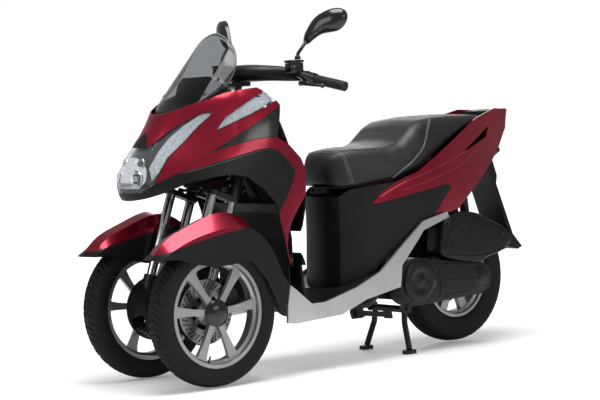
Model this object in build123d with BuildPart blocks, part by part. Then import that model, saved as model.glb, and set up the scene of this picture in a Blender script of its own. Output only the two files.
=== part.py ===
# Reverse trike: leaning scooter with two steered front wheels and one driven rear wheel.
# Frame: +X is the rider's left, -Y is forward, +Z is up, origin on the ground
# under the middle of the overall length. All sizes in millimetres.
from build123d import *
from math import sin, cos, tan, radians, sqrt, atan2, degrees, pi
import os

os.makedirs("parts", exist_ok=True)

# ---------------------------------------------------------------- driving sizes
wheelbase = 1310.0
front_track = 385.0
rear_overhang = 345.0  # rear axle to the tip of the rear mudguard
rear_lift = 6.0  # rear tyre above the ground on the centre stand
front_tyre_r = 250.0
front_tyre_w = 90.0
front_bead_r = 178.0
rear_tyre_r = 251.5
rear_tyre_w = 110.0
rear_bead_r = 153.0
seat_clear = 0.2  # gap between two fixed pieces that seat on each other
run_clear = 0.3  # gap between a pin or shaft and its bore on another body
caster = 20.0  # rake of every steering axis
trail = 68.0
kingpin_x = 118.0  # steering axis of each front wheel from the middle plane
axle_r = 10.0
shell_t = 4.0  # moulded panel thickness
front_disc_r = 110.0
rear_disc_r = 115.0
disc_t = 4.0
screen_t = 4.0
grip_half_span = 366.0  # handlebar half width

front_axle_y = -(front_tyre_r + wheelbase + rear_overhang) / 2 + front_tyre_r
rear_axle_z = rear_tyre_r + rear_lift
rear_axle_y = front_axle_y + wheelbase
sc, cc = sin(radians(caster)), cos(radians(caster))


def st(a):
    """Y of a station a mm behind the front axle."""
    return front_axle_y + a


def steer_plane(x):
    """Plane square to the steering axis at axle height: local X = +X, local Y = rearward, local Z = up the axis."""
    back = front_tyre_r * tan(radians(caster)) - trail  # axle ahead of... axis behind axle
    return Plane(origin=(x, st(-trail + front_tyre_r * tan(radians(caster))), front_tyre_r), x_dir=(1, 0, 0), z_dir=(0, sc, cc))


axis_back = front_tyre_r * tan(radians(caster)) - trail  # steering axis behind the front axle, at axle height
axle_fore = axis_back * cc  # axle ahead of the steering axis, square to it
axle_drop = axis_back * sc  # axle below the steering plane's origin, along it


def outline(points):
    """Closed face inside straight edges, in the sketch being built."""
    with BuildLine() as edge:
        Polyline(*points, close=True)
    make_face(edge.edges())


def side(points):
    """Side-view points (station behind the front axle, height) as (Y, Z)."""
    return [(st(a), z) for a, z in points]


# ---------------------------------------------------------------- wheels
# Bead seat, flange and well follow one section; columns: half width, radius.
def rim_section(bead_r, bead_x):
    lip = bead_r + 12
    return [(-bead_x - 5, bead_r - 6), (-bead_x - 5, lip), (-bead_x, lip), (-bead_x, bead_r), (-bead_x + 11, bead_r - 1),
            (-bead_x + 17, bead_r - 11), (bead_x - 17, bead_r - 11), (bead_x - 11, bead_r - 1), (bead_x, bead_r), (bead_x, lip),
            (bead_x + 5, lip), (bead_x + 5, bead_r - 6), (bead_x - 8, bead_r - 8), (bead_x - 14, bead_r - 17),
            (-bead_x + 14, bead_r - 17), (-bead_x + 8, bead_r - 8)]


def wheel_plane(x, y, z):
    """Section plane of a wheel: local X along the axle, local Y down, so the seam lies at the ground."""
    return Plane(origin=(x, y, z), x_dir=(1, 0, 0), z_dir=(0, 1, 0))


def tyre(x, y, z, r, w, bead_r, bead_x):
    toe, side_r = bead_x - 10, bead_r + 0.5 * (r - bead_r)
    with BuildPart() as body:
        with BuildSketch(wheel_plane(x, y, z)):
            with BuildLine():
                Line((-toe, bead_r + seat_clear), (-bead_x + seat_clear, bead_r + seat_clear))
                Line((-bead_x + seat_clear, bead_r + seat_clear), (-bead_x + seat_clear, bead_r + 14))
                ThreePointArc((-bead_x + seat_clear, bead_r + 14), (-w / 2, side_r), (-0.44 * w, r - 13))
                ThreePointArc((-0.44 * w, r - 13), (0, r), (0.44 * w, r - 13))
                ThreePointArc((0.44 * w, r - 13), (w / 2, side_r), (bead_x - seat_clear, bead_r + 14))
                Line((bead_x - seat_clear, bead_r + 14), (bead_x - seat_clear, bead_r + seat_clear))
                Line((bead_x - seat_clear, bead_r + seat_clear), (toe, bead_r + seat_clear))
                Line((toe, bead_r + seat_clear), (toe, bead_r + 12))
                ThreePointArc((toe, bead_r + 12), (0.4 * w, side_r), (0.34 * w, r - 16))
                ThreePointArc((0.34 * w, r - 16), (0, r - 7), (-0.34 * w, r - 16))
                ThreePointArc((-0.34 * w, r - 16), (-0.4 * w, side_r), (-toe, bead_r + 12))
                Line((-toe, bead_r + 12), (-toe, bead_r + seat_clear))
            make_face()
        revolve(axis=Axis((x, y, z), (1, 0, 0)), revolution_arc=360)
    return body.part


front_bead_x = 28.0
rear_bead_x = 33.0
spoke_root_r = 30.0
hub_bore_r = axle_r + run_clear
disc_x = 38.0  # brake disc's middle plane inboard of the wheel's middle plane
spoke_angles = [c + d for c in (90, 210, 330) for d in (-36, 36)]  # three pairs of spokes

for name, s in (("left", 1), ("right", -1)):
    wx, wy, wz = s * front_track / 2, front_axle_y, front_tyre_r
    axle = Axis((wx, wy, wz), (1, 0, 0))
    with BuildPart() as rim:
        with BuildSketch(wheel_plane(wx, wy, wz)):
            outline(rim_section(front_bead_r, front_bead_x))
        revolve(axis=axle, revolution_arc=360)
        # hub barrel, wider at its inner end where the disc is bolted
        with BuildSketch(wheel_plane(wx, wy, wz)):
            outline([(-s * (disc_x - disc_t / 2), hub_bore_r), (-s * (disc_x - disc_t / 2), 44), (-s * 24, 44), (-s * 12, 34),
                     (s * 16, 36), (s * 24, 30), (s * 24, hub_bore_r)])
        revolve(axis=axle, revolution_arc=360)
        for angle in spoke_angles:
            out = (0, -cos(radians(angle)), sin(radians(angle)))
            for r, width, thick, dish in ((spoke_root_r, 26, 22, 10), (100, 24, 15, 12), (front_bead_r - 13.5, 40, 18, 10)):
                with BuildSketch(Plane(origin=(wx + s * dish, wy + out[1] * r, wz + out[2] * r), x_dir=(1, 0, 0), z_dir=out)):
                    Rectangle(thick, width)
            loft()
        with BuildSketch(Plane(origin=(wx, wy, wz), x_dir=(0, 1, 0), z_dir=(1, 0, 0))):
            Circle(hub_bore_r)
        extrude(amount=60, both=True, mode=Mode.SUBTRACT)
    rim.part.label = f"front_rim_{name}"
    export_step(rim.part, f"parts/front_rim_{name}.step")

    body = tyre(wx, wy, wz, front_tyre_r, front_tyre_w, front_bead_r, front_bead_x)
    body.label = f"front_tyre_{name}"
    export_step(body, f"parts/front_tyre_{name}.step")

    with BuildPart() as disc:
        with BuildSketch(Plane(origin=(wx - s * disc_x, wy, wz), x_dir=(0, 1, 0), z_dir=(1, 0, 0))):
            Circle(front_disc_r)
            Circle(60, mode=Mode.SUBTRACT)
            with PolarLocations(0, 5):
                with Locations((48, 0)):
                    Rectangle(34, 20)
            Circle(42)
            Circle(hub_bore_r + 4, mode=Mode.SUBTRACT)
        extrude(amount=disc_t / 2, both=True)
    disc.part.label = f"front_disc_{name}"
    export_step(disc.part, f"parts/front_disc_{name}.step")

rear_hub_x = 70.0
rear_axle_r = 8.0
with BuildPart() as rear_rim:
    axle = Axis((0, rear_axle_y, rear_axle_z), (1, 0, 0))
    with BuildSketch(wheel_plane(0, rear_axle_y, rear_axle_z)):
        outline(rim_section(rear_bead_r, rear_bead_x))
    revolve(axis=axle, revolution_arc=360)
    with BuildSketch(wheel_plane(0, rear_axle_y, rear_axle_z)):
        outline([(-rear_hub_x + 20, rear_axle_r + run_clear), (-rear_hub_x + 20, 36), (-20, 44), (20, 44), (rear_hub_x - 12, 32),
                 (rear_hub_x - 12, rear_axle_r + run_clear)])
    revolve(axis=axle, revolution_arc=360)
    for angle in spoke_angles:
        out = (0, cos(radians(angle)), sin(radians(angle)))
        for r, width, thick in ((34, 26, 26), (rear_bead_r - 13.5, 38, 20)):
            with BuildSketch(Plane(origin=(6, rear_axle_y + out[1] * r, rear_axle_z + out[2] * r), x_dir=(1, 0, 0), z_dir=out)):
                Rectangle(thick, width)
        loft()
rear_rim.part.label = "rear_rim"
export_step(rear_rim.part, "parts/rear_rim.step")

body = tyre(0, rear_axle_y, rear_axle_z, rear_tyre_r, rear_tyre_w, rear_bead_r, rear_bead_x)
body.label = "rear_tyre"
export_step(body, "parts/rear_tyre.step")

with BuildPart() as rear_disc:
    with BuildSketch(Plane(origin=(-rear_hub_x + 18, rear_axle_y, rear_axle_z), x_dir=(0, 1, 0), z_dir=(1, 0, 0))):
        Circle(rear_disc_r)
        Circle(66, mode=Mode.SUBTRACT)
        with PolarLocations(0, 5):
            with Locations((50, 0)):
                Rectangle(40, 22)
        Circle(38)
        Circle(rear_axle_r + run_clear, mode=Mode.SUBTRACT)
    extrude(amount=disc_t / 2, both=True)
rear_disc.part.label = "rear_disc"
export_step(rear_disc.part, "parts/rear_disc.step")

hub_cap_r = 46.0
for name, s in (("left", 1), ("right", -1)):
    wx = s * front_track / 2
    with BuildPart() as cap:
        with BuildSketch(wheel_plane(wx, front_axle_y, front_tyre_r)):
            with BuildLine():
                Polyline((s * (24 + seat_clear), 16), (s * (24 + seat_clear), hub_cap_r), (s * 27, hub_cap_r))
                ThreePointArc((s * 27, hub_cap_r), (s * 37, 31), (s * 42, 10))
                Polyline((s * 42, 10), (s * 42, 0), (s * 38, 0), (s * 38, 10), (s * 34, 16), (s * (24 + seat_clear), 16))
            make_face()
        revolve(axis=Axis((wx, front_axle_y, front_tyre_r), (1, 0, 0)), revolution_arc=360)
    cap.part.label = f"hub_cap_{name}"
    export_step(cap.part, f"parts/hub_cap_{name}.step")

# ---------------------------------------------------------------- front forks
leg_spacing = 87.0  # the front leg ahead of the rear leg, which lies on the steering axis
slider_r = 24.0
fork_tube_r = 16.5
slider_low, slider_high = -45.0, 92.0  # along the steering axis from axle height
bracket_low = 385.0  # underside of the fork bracket
bracket_t = 18.0
stem_r = 12.0
side_tube_low, side_tube_high, side_tube_r = bracket_low + bracket_t + 1.0, 520.0, 22.0
arm_fore = 50.0  # pitman arm length ahead of the steering axis
rod_low = bracket_low + bracket_t + 3.0  # underside of the tie rod's eyes
rod_eye_h, rod_eye_r, rod_pin_r, rod_r = 12.0, 11.0, 5.0, 6.0
bowl_r = 113.0

for name, s in (("left", 1), ("right", -1)):
    kp = steer_plane(s * kingpin_x)
    ax_o = Vector(s * kingpin_x, front_axle_y, front_tyre_r)
    with BuildPart() as fork:
        with BuildSketch(kp.offset(slider_low)):
            with Locations((0, 0), (0, -leg_spacing)):
                Circle(slider_r)
        extrude(amount=slider_high - slider_low)
        with BuildSketch(kp.offset(slider_low + 12)):  # casting between the legs
            with Locations((0, -leg_spacing / 2)):
                Rectangle(30, leg_spacing)
        extrude(amount=66)
        with BuildSketch(Plane(origin=(s * 92, front_axle_y, front_tyre_r), x_dir=(0, 1, 0), z_dir=(1, 0, 0))):
            Circle(27)
        extrude(amount=s * 57)
        # caliper over the rear upper part of the disc, on lugs from the rear leg
        with BuildSketch(Plane(origin=(s * 136, front_axle_y, front_tyre_r), x_dir=(0, 1, 0), z_dir=(1, 0, 0))):
            outline([(62, 62), (92, 100), (126, 62), (138, 22), (128, 4), (60, 16)])
        extrude(amount=s * 33)
        with BuildSketch(Plane(origin=(front_track / 2 * s - s * disc_x, front_axle_y, front_tyre_r), x_dir=(0, 1, 0), z_dir=(1, 0, 0))):
            Circle(front_disc_r + 5)
        extrude(amount=disc_t / 2 + 3, both=True, mode=Mode.SUBTRACT)
        with BuildSketch(Plane(origin=(s * 118, front_axle_y, front_tyre_r), x_dir=(0, 1, 0), z_dir=(1, 0, 0))):
            outline([(22, 30), (40, 60), (92, 96), (100, 40), (60, 16), (30, -6)])
        extrude(amount=s * 24)
        # bracket across both legs, with the tie rod's pin and the stem up through the side tube
        with BuildSketch(kp.offset(bracket_low)):
            with Locations((0, 0), (0, -leg_spacing)):
                Circle(slider_r - 1)
            with Locations((0, -leg_spacing / 2)):
                Rectangle(40, leg_spacing)
        extrude(amount=bracket_t)
        with BuildSketch(kp.offset(bracket_low + bracket_t)):
            with Locations((0, -arm_fore)):
                Circle(rod_pin_r)
        extrude(amount=rod_eye_h + 4)
        with BuildSketch(kp.offset(bracket_low + bracket_t)):
            Circle(stem_r)
        extrude(amount=side_tube_high + 14 - bracket_low - bracket_t)
        with BuildSketch(kp.offset(side_tube_high + 1)):
            Circle(18)
        extrude(amount=12)
    fork.part.label = f"fork_{name}"
    export_step(fork.part, f"parts/fork_{name}.step")

    with BuildPart() as tubes:  # chromed stanchions and the stub axle
        with BuildSketch(kp.offset(slider_high)):
            with Locations((0, 0), (0, -leg_spacing)):
                Circle(fork_tube_r)
        extrude(amount=bracket_low - slider_high)
        with BuildSketch(Plane(origin=(s * 149, front_axle_y, front_tyre_r), x_dir=(0, 1, 0), z_dir=(1, 0, 0))):
            Circle(axle_r)
        extrude(amount=s * 72)
        with BuildSketch(Plane(origin=(s * (front_track / 2 + 24.5), front_axle_y, front_tyre_r), x_dir=(0, 1, 0), z_dir=(1, 0, 0))):
            Circle(14)
        extrude(amount=s * 7)
    tubes.part.label = f"fork_tubes_{name}"
    export_step(tubes.part, f"parts/fork_tubes_{name}.step")

    # bowl that covers the disc from inboard, notched where the legs and the boss pass
    with BuildPart() as bowl:
        with BuildSketch(wheel_plane(s * kingpin_x, front_axle_y, front_tyre_r)):
            outline([(s * 27, bowl_r), (s * 27, bowl_r - 4), (s * -6, bowl_r - 14), (s * -27, 70), (s * -27, 27.2), (s * -31, 27.2),
                     (s * -31, 74), (s * -10, bowl_r - 8)])
        revolve(axis=Axis((0, front_axle_y, front_tyre_r), (1, 0, 0)), revolution_arc=360)
        with BuildSketch(kp.offset(-150)):
            with Locations((0, 0), (0, -leg_spacing)):
                Circle(slider_r + seat_clear)
        extrude(amount=320, mode=Mode.SUBTRACT)
        with BuildSketch(kp.offset(-150)):
            with Locations((0, -leg_spacing / 2)):
                Rectangle(30 + 2 * seat_clear, leg_spacing)
        extrude(amount=320, mode=Mode.SUBTRACT)
        with BuildSketch(Plane(origin=(s * 118, front_axle_y, front_tyre_r), x_dir=(0, 1, 0), z_dir=(1, 0, 0))):
            outline([(20, 28), (40, 62), (92, 130), (160, 90), (160, -6), (30, -8)])
        extrude(amount=s * 40, mode=Mode.SUBTRACT)
    bowl.part.label = f"disc_cover_{name}"
    export_step(bowl.part, f"parts/disc_cover_{name}.step")

with BuildPart() as tie_rod:
    with BuildSketch(steer_plane(0).offset(rod_low)):
        with Locations((-kingpin_x, -arm_fore), (0, -arm_fore), (kingpin_x, -arm_fore)):
            Circle(rod_eye_r)
    extrude(amount=rod_eye_h)
    with BuildSketch(Plane(origin=steer_plane(0).from_local_coords(Vector(0, -arm_fore, rod_low + rod_eye_h / 2)), x_dir=(0, 1, 0), z_dir=(1, 0, 0))):
        Circle(rod_r - 0.5)
    extrude(amount=kingpin_x - rod_eye_r + 3, both=True)
    with BuildSketch(steer_plane(0).offset(rod_low)):
        with Locations((-kingpin_x, -arm_fore), (0, -arm_fore), (kingpin_x, -arm_fore)):
            Circle(rod_pin_r + run_clear)
    extrude(amount=rod_eye_h, mode=Mode.SUBTRACT)
tie_rod.part.label = "tie_rod"
export_step(tie_rod.part, "parts/tie_rod.step")

# ---------------------------------------------------------------- leaning linkage and frame
head_pipe_low, head_pipe_high, head_pipe_r = bracket_low + bracket_t + 1.0, 742.0, 27.0
arm_levels = (440.0, 496.0)  # heights of the two arms along the steering axis
pivot_r = 8.0
arm_plane = Plane(origin=steer_plane(0).origin, x_dir=(1, 0, 0), z_dir=(0, -cc, sc))  # faces forward, square to the axis

with BuildPart() as side_tubes:
    for s in (1, -1):
        with BuildSketch(steer_plane(s * kingpin_x).offset(side_tube_low)):
            Circle(side_tube_r)
        extrude(amount=side_tube_high - side_tube_low)
    for face in (1, -1):
        with BuildSketch(arm_plane.offset(face * 15)):
            with Locations(*[(s * kingpin_x, w) for s in (1, -1) for w in arm_levels]):
                Circle(pivot_r)
        extrude(amount=face * 25)
    for s in (1, -1):
        with BuildSketch(steer_plane(s * kingpin_x).offset(side_tube_low)):
            Circle(stem_r + run_clear)
        extrude(amount=side_tube_high - side_tube_low, mode=Mode.SUBTRACT)
side_tubes.part.label = "side_tubes"
export_step(side_tubes.part, "parts/side_tubes.step")

with BuildPart() as arms:
    for w in arm_levels:
        for face in (1, -1):
            with BuildSketch(arm_plane.offset(face * 29)):
                with Locations((0, w)):
                    SlotCenterToCenter(2 * kingpin_x, 28)
                    Circle(22)
                with Locations((-kingpin_x, w), (0, w), (kingpin_x, w)):
                    Circle(pivot_r + seat_clear, mode=Mode.SUBTRACT)
            extrude(amount=face * 8)
        with BuildSketch(arm_plane.offset(-30)):
            with Locations((-62, w), (62, w)):
                Rectangle(14, 22)
        extrude(amount=60)
arms.part.label = "tilt_arms"
export_step(arms.part, "parts/tilt_arms.step")

frame_tube_r = 15.0
floor_z = 205.0  # centre line of the floor rails
with BuildPart() as rails:
    with BuildSketch(steer_plane(0).offset(head_pipe_low)):
        Circle(head_pipe_r)
    extrude(amount=head_pipe_high - head_pipe_low)
    for face in (1, -1):
        with BuildSketch(arm_plane.offset(face * 20)):
            with Locations(*[(0, w) for w in arm_levels]):
                Circle(pivot_r)
        extrude(amount=face * 20)
    for s in (1, -1):
        with BuildLine() as run:
            FilletPolyline((s * 14, st(225), 775), (s * 62, st(352), 560), (s * 70, st(366), 340), (s * 84, st(372), floor_z),
                           (s * 110, st(560), floor_z), (s * 112, st(800), floor_z), (s * 134, st(852), 390), (s * 136, st(965), 510),
                           (s * 132, st(1190), 604), (s * 92, st(1500), 745), radius=(55, 55, 50, 55, 55, 50, 55, 55))
        with BuildSketch(Plane(origin=run.line @ 0, z_dir=run.line % 0)):
            Circle(frame_tube_r)
        sweep(path=run.line)
    for a, z, half in ((470, floor_z, 98), (690, floor_z, 111), (1040, 541, 134), (1300, 654, 118), (1480, 740, 94)):
        with BuildSketch(Plane(origin=(0, st(a), z), x_dir=(0, 1, 0), z_dir=(1, 0, 0))):
            Circle(11)
        extrude(amount=half, both=True)
    with BuildSketch(steer_plane(0).offset(head_pipe_low)):
        Circle(stem_r + run_clear)
    extrude(amount=head_pipe_high - head_pipe_low, mode=Mode.SUBTRACT)
# ---------------------------------------------------------------- handlebar
bar_r = 11.0
grip_r = 16.0
grip_start = 58.0  # grip's inner end, along the straight from the bend
bar_bend = (180.0, st(447), 1037.5)  # where the grip's straight begins
bar_end = (grip_half_span - 8, st(479), 996.0)
with BuildPart() as handlebar:
    with BuildSketch(steer_plane(0).offset(bracket_low + 4)):  # pitman arm under the head pipe
        Circle(20)
        with Locations((0, -arm_fore)):
            Circle(13)
        with Locations((0, -arm_fore / 2)):
            Rectangle(24, arm_fore)
    extrude(amount=bracket_t - 4)
    with BuildSketch(steer_plane(0).offset(bracket_low + bracket_t)):
        with Locations((0, -arm_fore)):
            Circle(rod_pin_r)
    extrude(amount=rod_eye_h + 4)
    with BuildSketch(steer_plane(0).offset(bracket_low + bracket_t)):
        Circle(stem_r)
    extrude(amount=815 - bracket_low - bracket_t)
    with BuildSketch(steer_plane(0).offset(head_pipe_high + 6)):
        Circle(22)
    extrude(amount=30)
    for s in (1, -1):
        with BuildLine() as run:
            FilletPolyline((0, st(322), 1044), (s * 68, st(330), 1048), (s * bar_bend[0], bar_bend[1], bar_bend[2]),
                           (s * bar_end[0], bar_end[1], bar_end[2]), radius=28)
        with BuildSketch(Plane(origin=run.line @ 0, z_dir=run.line % 0)):
            Circle(bar_r)
        sweep(path=run.line)
    with BuildSketch(Plane(origin=(0, st(300), 1012), x_dir=(1, 0, 0), z_dir=(0, 0, 1))):
        with Locations((0, 12)):
            Rectangle(44, 48)
    extrude(amount=40)
handlebar.part.label = "handlebar"
export_step(handlebar.part, "parts/handlebar.step")

with BuildPart() as grips:
    for s in (1, -1):
        inner = Vector(s * bar_bend[0], bar_bend[1], bar_bend[2])
        outer = Vector(s * bar_end[0], bar_end[1], bar_end[2])
        along = (outer - inner).normalized()
        with BuildSketch(Plane(origin=inner + along * grip_start, z_dir=along)):
            Circle(grip_r)
            Circle(bar_r + seat_clear, mode=Mode.SUBTRACT)
        extrude(amount=(outer - inner).length - grip_start)
        with BuildSketch(Plane(origin=outer, z_dir=along)):
            Circle(grip_r + 1)
        extrude(amount=5)
grips.part.label = "grips"
export_step(grips.part, "parts/grips.step")

with BuildPart() as handlebar_cover:
    # columns: X, station, centre height, depth, height
    cover_rows = ((-172, 436, 1043, 52, 44), (-120, 370, 1052, 88, 54), (0, 318, 1056, 96, 62), (120, 370, 1052, 88, 54), (172, 436, 1043, 52, 44))
    for x, a, z, deep, high in cover_rows:
        with BuildSketch(Plane(origin=(x, st(a), z), x_dir=(0, 1, 0), z_dir=(1, 0, 0))):
            RectangleRounded(deep, high, 0.3 * high)
    loft()
    with BuildPart(mode=Mode.PRIVATE) as hollow:
        for x, a, z, deep, high in cover_rows:
            with BuildSketch(Plane(origin=(x, st(a), z), x_dir=(0, 1, 0), z_dir=(1, 0, 0))):
                RectangleRounded(deep - 7, high - 7, 0.3 * (high - 7))
        loft()
    add(hollow.part, mode=Mode.SUBTRACT)
    with BuildSketch(Plane(origin=(0, st(305), 1000), x_dir=(1, 0, 0), z_dir=(0, 0, 1))):  # for the stem and clamp
        Rectangle(60, 70)
    extrude(amount=50, mode=Mode.SUBTRACT)
handlebar_cover.part.label = "handlebar_cover"
export_step(handlebar_cover.part, "parts/handlebar_cover.step")

with BuildPart() as controls:
    inner = Vector(*bar_bend)
    along = (Vector(*bar_end) - inner).normalized()
    with BuildSketch(Plane(origin=(205, st(385), 1049), x_dir=(1, 0, 0), z_dir=(0, 0, 1))):  # fluid reservoir
        RectangleRounded(50, 60, 8)
    extrude(amount=46)
    with BuildSketch(Plane(origin=(212, st(424), 1036), x_dir=(1, 0, 0), z_dir=(0, 0, 1))):  # clamp bracket
        Rectangle(24, 40)
    extrude(amount=20)
    with BuildSketch(Plane(origin=(216, st(408), 1006), x_dir=(1, 0, 0), z_dir=(0, 0, 1))):  # lever perch
        Rectangle(26, 34)
    extrude(amount=44)
    with BuildSketch(Plane(origin=inner + along * 12, z_dir=along)):
        Circle(22)
    extrude(amount=grip_start - 14)
    with BuildSketch(Plane(origin=inner, z_dir=along)):
        Circle(bar_r + seat_clear)
    extrude(amount=grip_start, mode=Mode.SUBTRACT)
    # lever blade: tapered from the perch to its ball
    for x, a, z, w, h in ((222, 402, 1014, 14, 12), (290, 386, 1004, 11, 9), (350, 386, 999, 9, 8)):
        with BuildSketch(Plane(origin=(x, st(a), z), x_dir=(0, 1, 0), z_dir=(1, 0, 0))):
            RectangleRounded(w, h, 3)
    loft()
    with Locations((352, st(386), 999)):
        Sphere(8)
    mirror(about=Plane.YZ)
controls.part.label = "controls"
export_step(controls.part, "parts/controls.step")

mirror_at = (272.0, 470.0, 1218.0)  # centre of the left mirror: X, station, height
with BuildPart() as mirrors:
    for s in (1, -1):
        with BuildLine() as run:
            FilletPolyline((s * 214, st(396), 1096), (s * 216, st(398), 1116), (s * 226, st(425), 1150), (s * 240, st(446), 1184), radius=12)
        with BuildSketch(Plane(origin=run.line @ 0, z_dir=run.line % 0)):
            Circle(6.5)
        sweep(path=run.line)
        with BuildSketch(Plane(origin=(s * 214, st(396), 1049 + 46 + seat_clear), x_dir=(1, 0, 0), z_dir=(0, 0, 1))):
            Circle(11)
        extrude(amount=12)
        face = Plane(origin=(s * mirror_at[0], st(mirror_at[1]), mirror_at[2]), x_dir=(s * 0.86, 0.46, 0.22), z_dir=(s * -0.46, 0.88, 0))
        for d, w, h, r in ((-34, 90, 50, 20), (-18, 156, 84, 34), (0, 184, 104, 42)):
            with BuildSketch(face.offset(d)):
                RectangleRounded(w, h, r)
        loft()
mirrors.part.label = "mirrors"
export_step(mirrors.part, "parts/mirrors.step")

with BuildPart() as mirror_glass:
    for s in (1, -1):
        face = Plane(origin=(s * mirror_at[0], st(mirror_at[1]), mirror_at[2]), x_dir=(s * 0.86, 0.46, 0.22), z_dir=(s * -0.46, 0.88, 0))
        with BuildSketch(face.offset(seat_clear)):
            RectangleRounded(168, 90, 36)
        extrude(amount=2)
mirror_glass.part.label = "mirror_glass"
export_step(mirror_glass.part, "parts/mirror_glass.step")

# ---------------------------------------------------------------- front body
# Horizontal sections. Columns: height, nose station, then (half width, station) of five points round the side.
cowl_rows = (
    (380.0, -150.0, (95, -105), (165, -20), (208, 120), (222, 260), (212, 425)),
    (640.0, -196.0, (98, -137), (166, -30), (212, 110), (226, 260), (213, 425)),
    (710.0, -211.0, (92, -152), (168, -34), (211, 100), (227, 255), (214, 428)),
    (800.0, -158.0, (78, -112), (152, -4), (200, 120), (226, 270), (212, 405)),
    (905.0, -76.0, (76, -44), (140, 42), (184, 150), (212, 285), (204, 375)),
    (1008.0, 2.0, (70, 34), (118, 104), (150, 180), (168, 262), (160, 335)),
)
inward = ((0.6, 0.8), (0.85, 0.5), (0.97, 0.25), (1, 0), (1, 0))  # inset direction at each side point: X, station


def section(nose, points):
    """Closed plan contour of three tangent-like arcs, mirrored, straight across the back."""
    p = [(x, st(a)) for x, a in points]
    m = [(-x, y) for x, y in p]
    with BuildLine() as edge:
        ThreePointArc(m[0], (0, st(nose)), p[0])
        ThreePointArc(p[0], p[1], p[2])
        ThreePointArc(p[2], p[3], p[4])
        Line(p[4], m[4])
        ThreePointArc(m[4], m[3], m[2])
        ThreePointArc(m[2], m[1], m[0])
    make_face(edge.edges())


def form(rows, inset, back=0.0):
    """Loft through the plan contours, moved inward by inset and lengthened backwards by back."""
    with BuildPart() as solid:
        for z, nose, *points in rows:
            moved = [(x - inset * ix, a + inset * ia) for (x, a), (ix, ia) in zip(points, inward)]
            moved[4] = (moved[4][0], moved[4][1] + back)
            with BuildSketch(Plane.XY.offset(z)):
                section(nose + inset, moved)
        loft()
    return solid.part


cowl_outer = form(cowl_rows, 0)
cowl_inner = form(cowl_rows, shell_t, 30)
with BuildPart() as cowl_shell:
    add(cowl_outer)
    add(cowl_inner, mode=Mode.SUBTRACT)

# Seams between the panels, as side views (station, height).
lamp_top = [(-68, 921), (-95, 880), (-135, 815)]
spear_tip = (-150, 690)
lamp_edge = [(-125, 736), (-95, 776), (-30, 831), (20, 880), (72, 922)]  # under the lamp strip
brow_edge = [(35, 921), (-15, 896), (-70, 861), (-120, 823)]  # above the lamp strip
vent_tip = (35, 789)
band_top = [(152, 819), (243, 833), (284, 830)]
band_tip = (-95, 716)
band_under = [(-43, 730), (33, 750), (108, 768), (195, 789), (241, 794), (276, 787), (332, 745), (359, 712), (350, 681), (316, 623), (279, 574)]
arch_edge = [(268, 603), (220, 654), (155, 698), (90, 711), (30, 705), (-62, 686), (-135, 653)]
signal = [(64, 859), (106, 907), (206, 964), (268, 990), (308, 957)]

panels = (
    ("headlamp", [(-260, 662), (-186, 662), spear_tip, *lamp_edge, *brow_edge, (-138, 812), (-260, 812)]),
    ("cowl", [spear_tip, *lamp_edge, *brow_edge, (-135, 815), (-95, 880), (-68, 919), (-23, 938), (58, 969), (130, 989), (210, 1000), (245, 1003),
              (268, 990), (206, 964), (106, 907), (64, 859), (308, 957), (320, 941), vent_tip, band_tip]),
    ("turn_signals", signal),
    ("vent_panels", [vent_tip, (320, 941), *reversed(band_top)]),
    ("leg_shield_bands", [band_tip, vent_tip, *band_top, (338, 800), (391, 754), (411, 716), (410, 608), (399, 536), (381, 455), (322, 388), (312, 430), *reversed(band_under)]),
    ("cowl_trim", [(-260, 560), (-260, 662), (-186, 662), spear_tip, band_tip, *band_under, *arch_edge, (-200, 632)]),
)
for name, points in panels:
    with BuildPart() as panel:
        add(cowl_shell.part)
        with BuildSketch(Plane.YZ):
            outline(side(points))
        extrude(amount=300, both=True, mode=Mode.INTERSECT)
        if name == "cowl_trim":  # black middle strip from the lamp up to the screen
            with BuildPart(mode=Mode.PRIVATE) as mask:
                add(cowl_shell.part)
                with BuildSketch(Plane.YZ):
                    outline(side([(-260, 812.2), (-138, 812.2), (-136, 815), (-95.5, 880), (-69, 919), (-66, 923), (-260, 923)]))
                extrude(amount=300, both=True, mode=Mode.INTERSECT)
            add(mask.part)
    panel.part.label = name
    export_step(panel.part, f"parts/{name}.step")

with BuildPart() as windscreen:
    lean = Plane(origin=(0, st(-68.7), 893.9), x_dir=(1, 0, 0), z_dir=(0, 0.66, 0.751))
    with BuildSketch(lean):
        with BuildLine():
            ThreePointArc((-165, 78), (0, 0), (165, 78))
            Line((165, 78), (165 - screen_t, 78 + 2))
            ThreePointArc((165 - screen_t, 80), (0, screen_t), (-165 + screen_t, 80))
            Line((-165 + screen_t, 80), (-165, 78))
        make_face()
    extrude(amount=420)
    with BuildSketch(Plane.XZ):
        outline([(0, 920), (52, 926), (96, 958), (132, 1010), (150, 1058), (157, 1105), (150, 1150), (126, 1182), (90, 1200), (40, 1208), (0, 1210),
                 (-40, 1208), (-90, 1200), (-126, 1182), (-150, 1150), (-157, 1105), (-150, 1058), (-132, 1010), (-96, 958), (-52, 926)])
    extrude(amount=1000, both=True, mode=Mode.INTERSECT)
windscreen.part.label = "windscreen"
export_step(windscreen.part, "parts/windscreen.step")

floor_half = 198.0
cowl_room = form(cowl_rows, shell_t + seat_clear, 30)  # space inside the shell

with BuildPart() as dash:
    add(cowl_room)
    with BuildSketch(Plane.YZ):
        outline(side([(-66, 906), (-30, 915), (60, 948), (180, 976), (248, 968), (248, 974), (180, 982), (60, 954), (-34, 921), (-66, 912)]))
    extrude(amount=300, both=True, mode=Mode.INTERSECT)
    with BuildSketch(Plane.YZ):  # meter pod behind the screen
        outline(side([(70, 956), (92, 1026), (112, 1046), (184, 1016), (196, 980)]))
    extrude(amount=78, both=True)
dash.part.label = "dash"
export_step(dash.part, "parts/dash.step")

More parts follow.
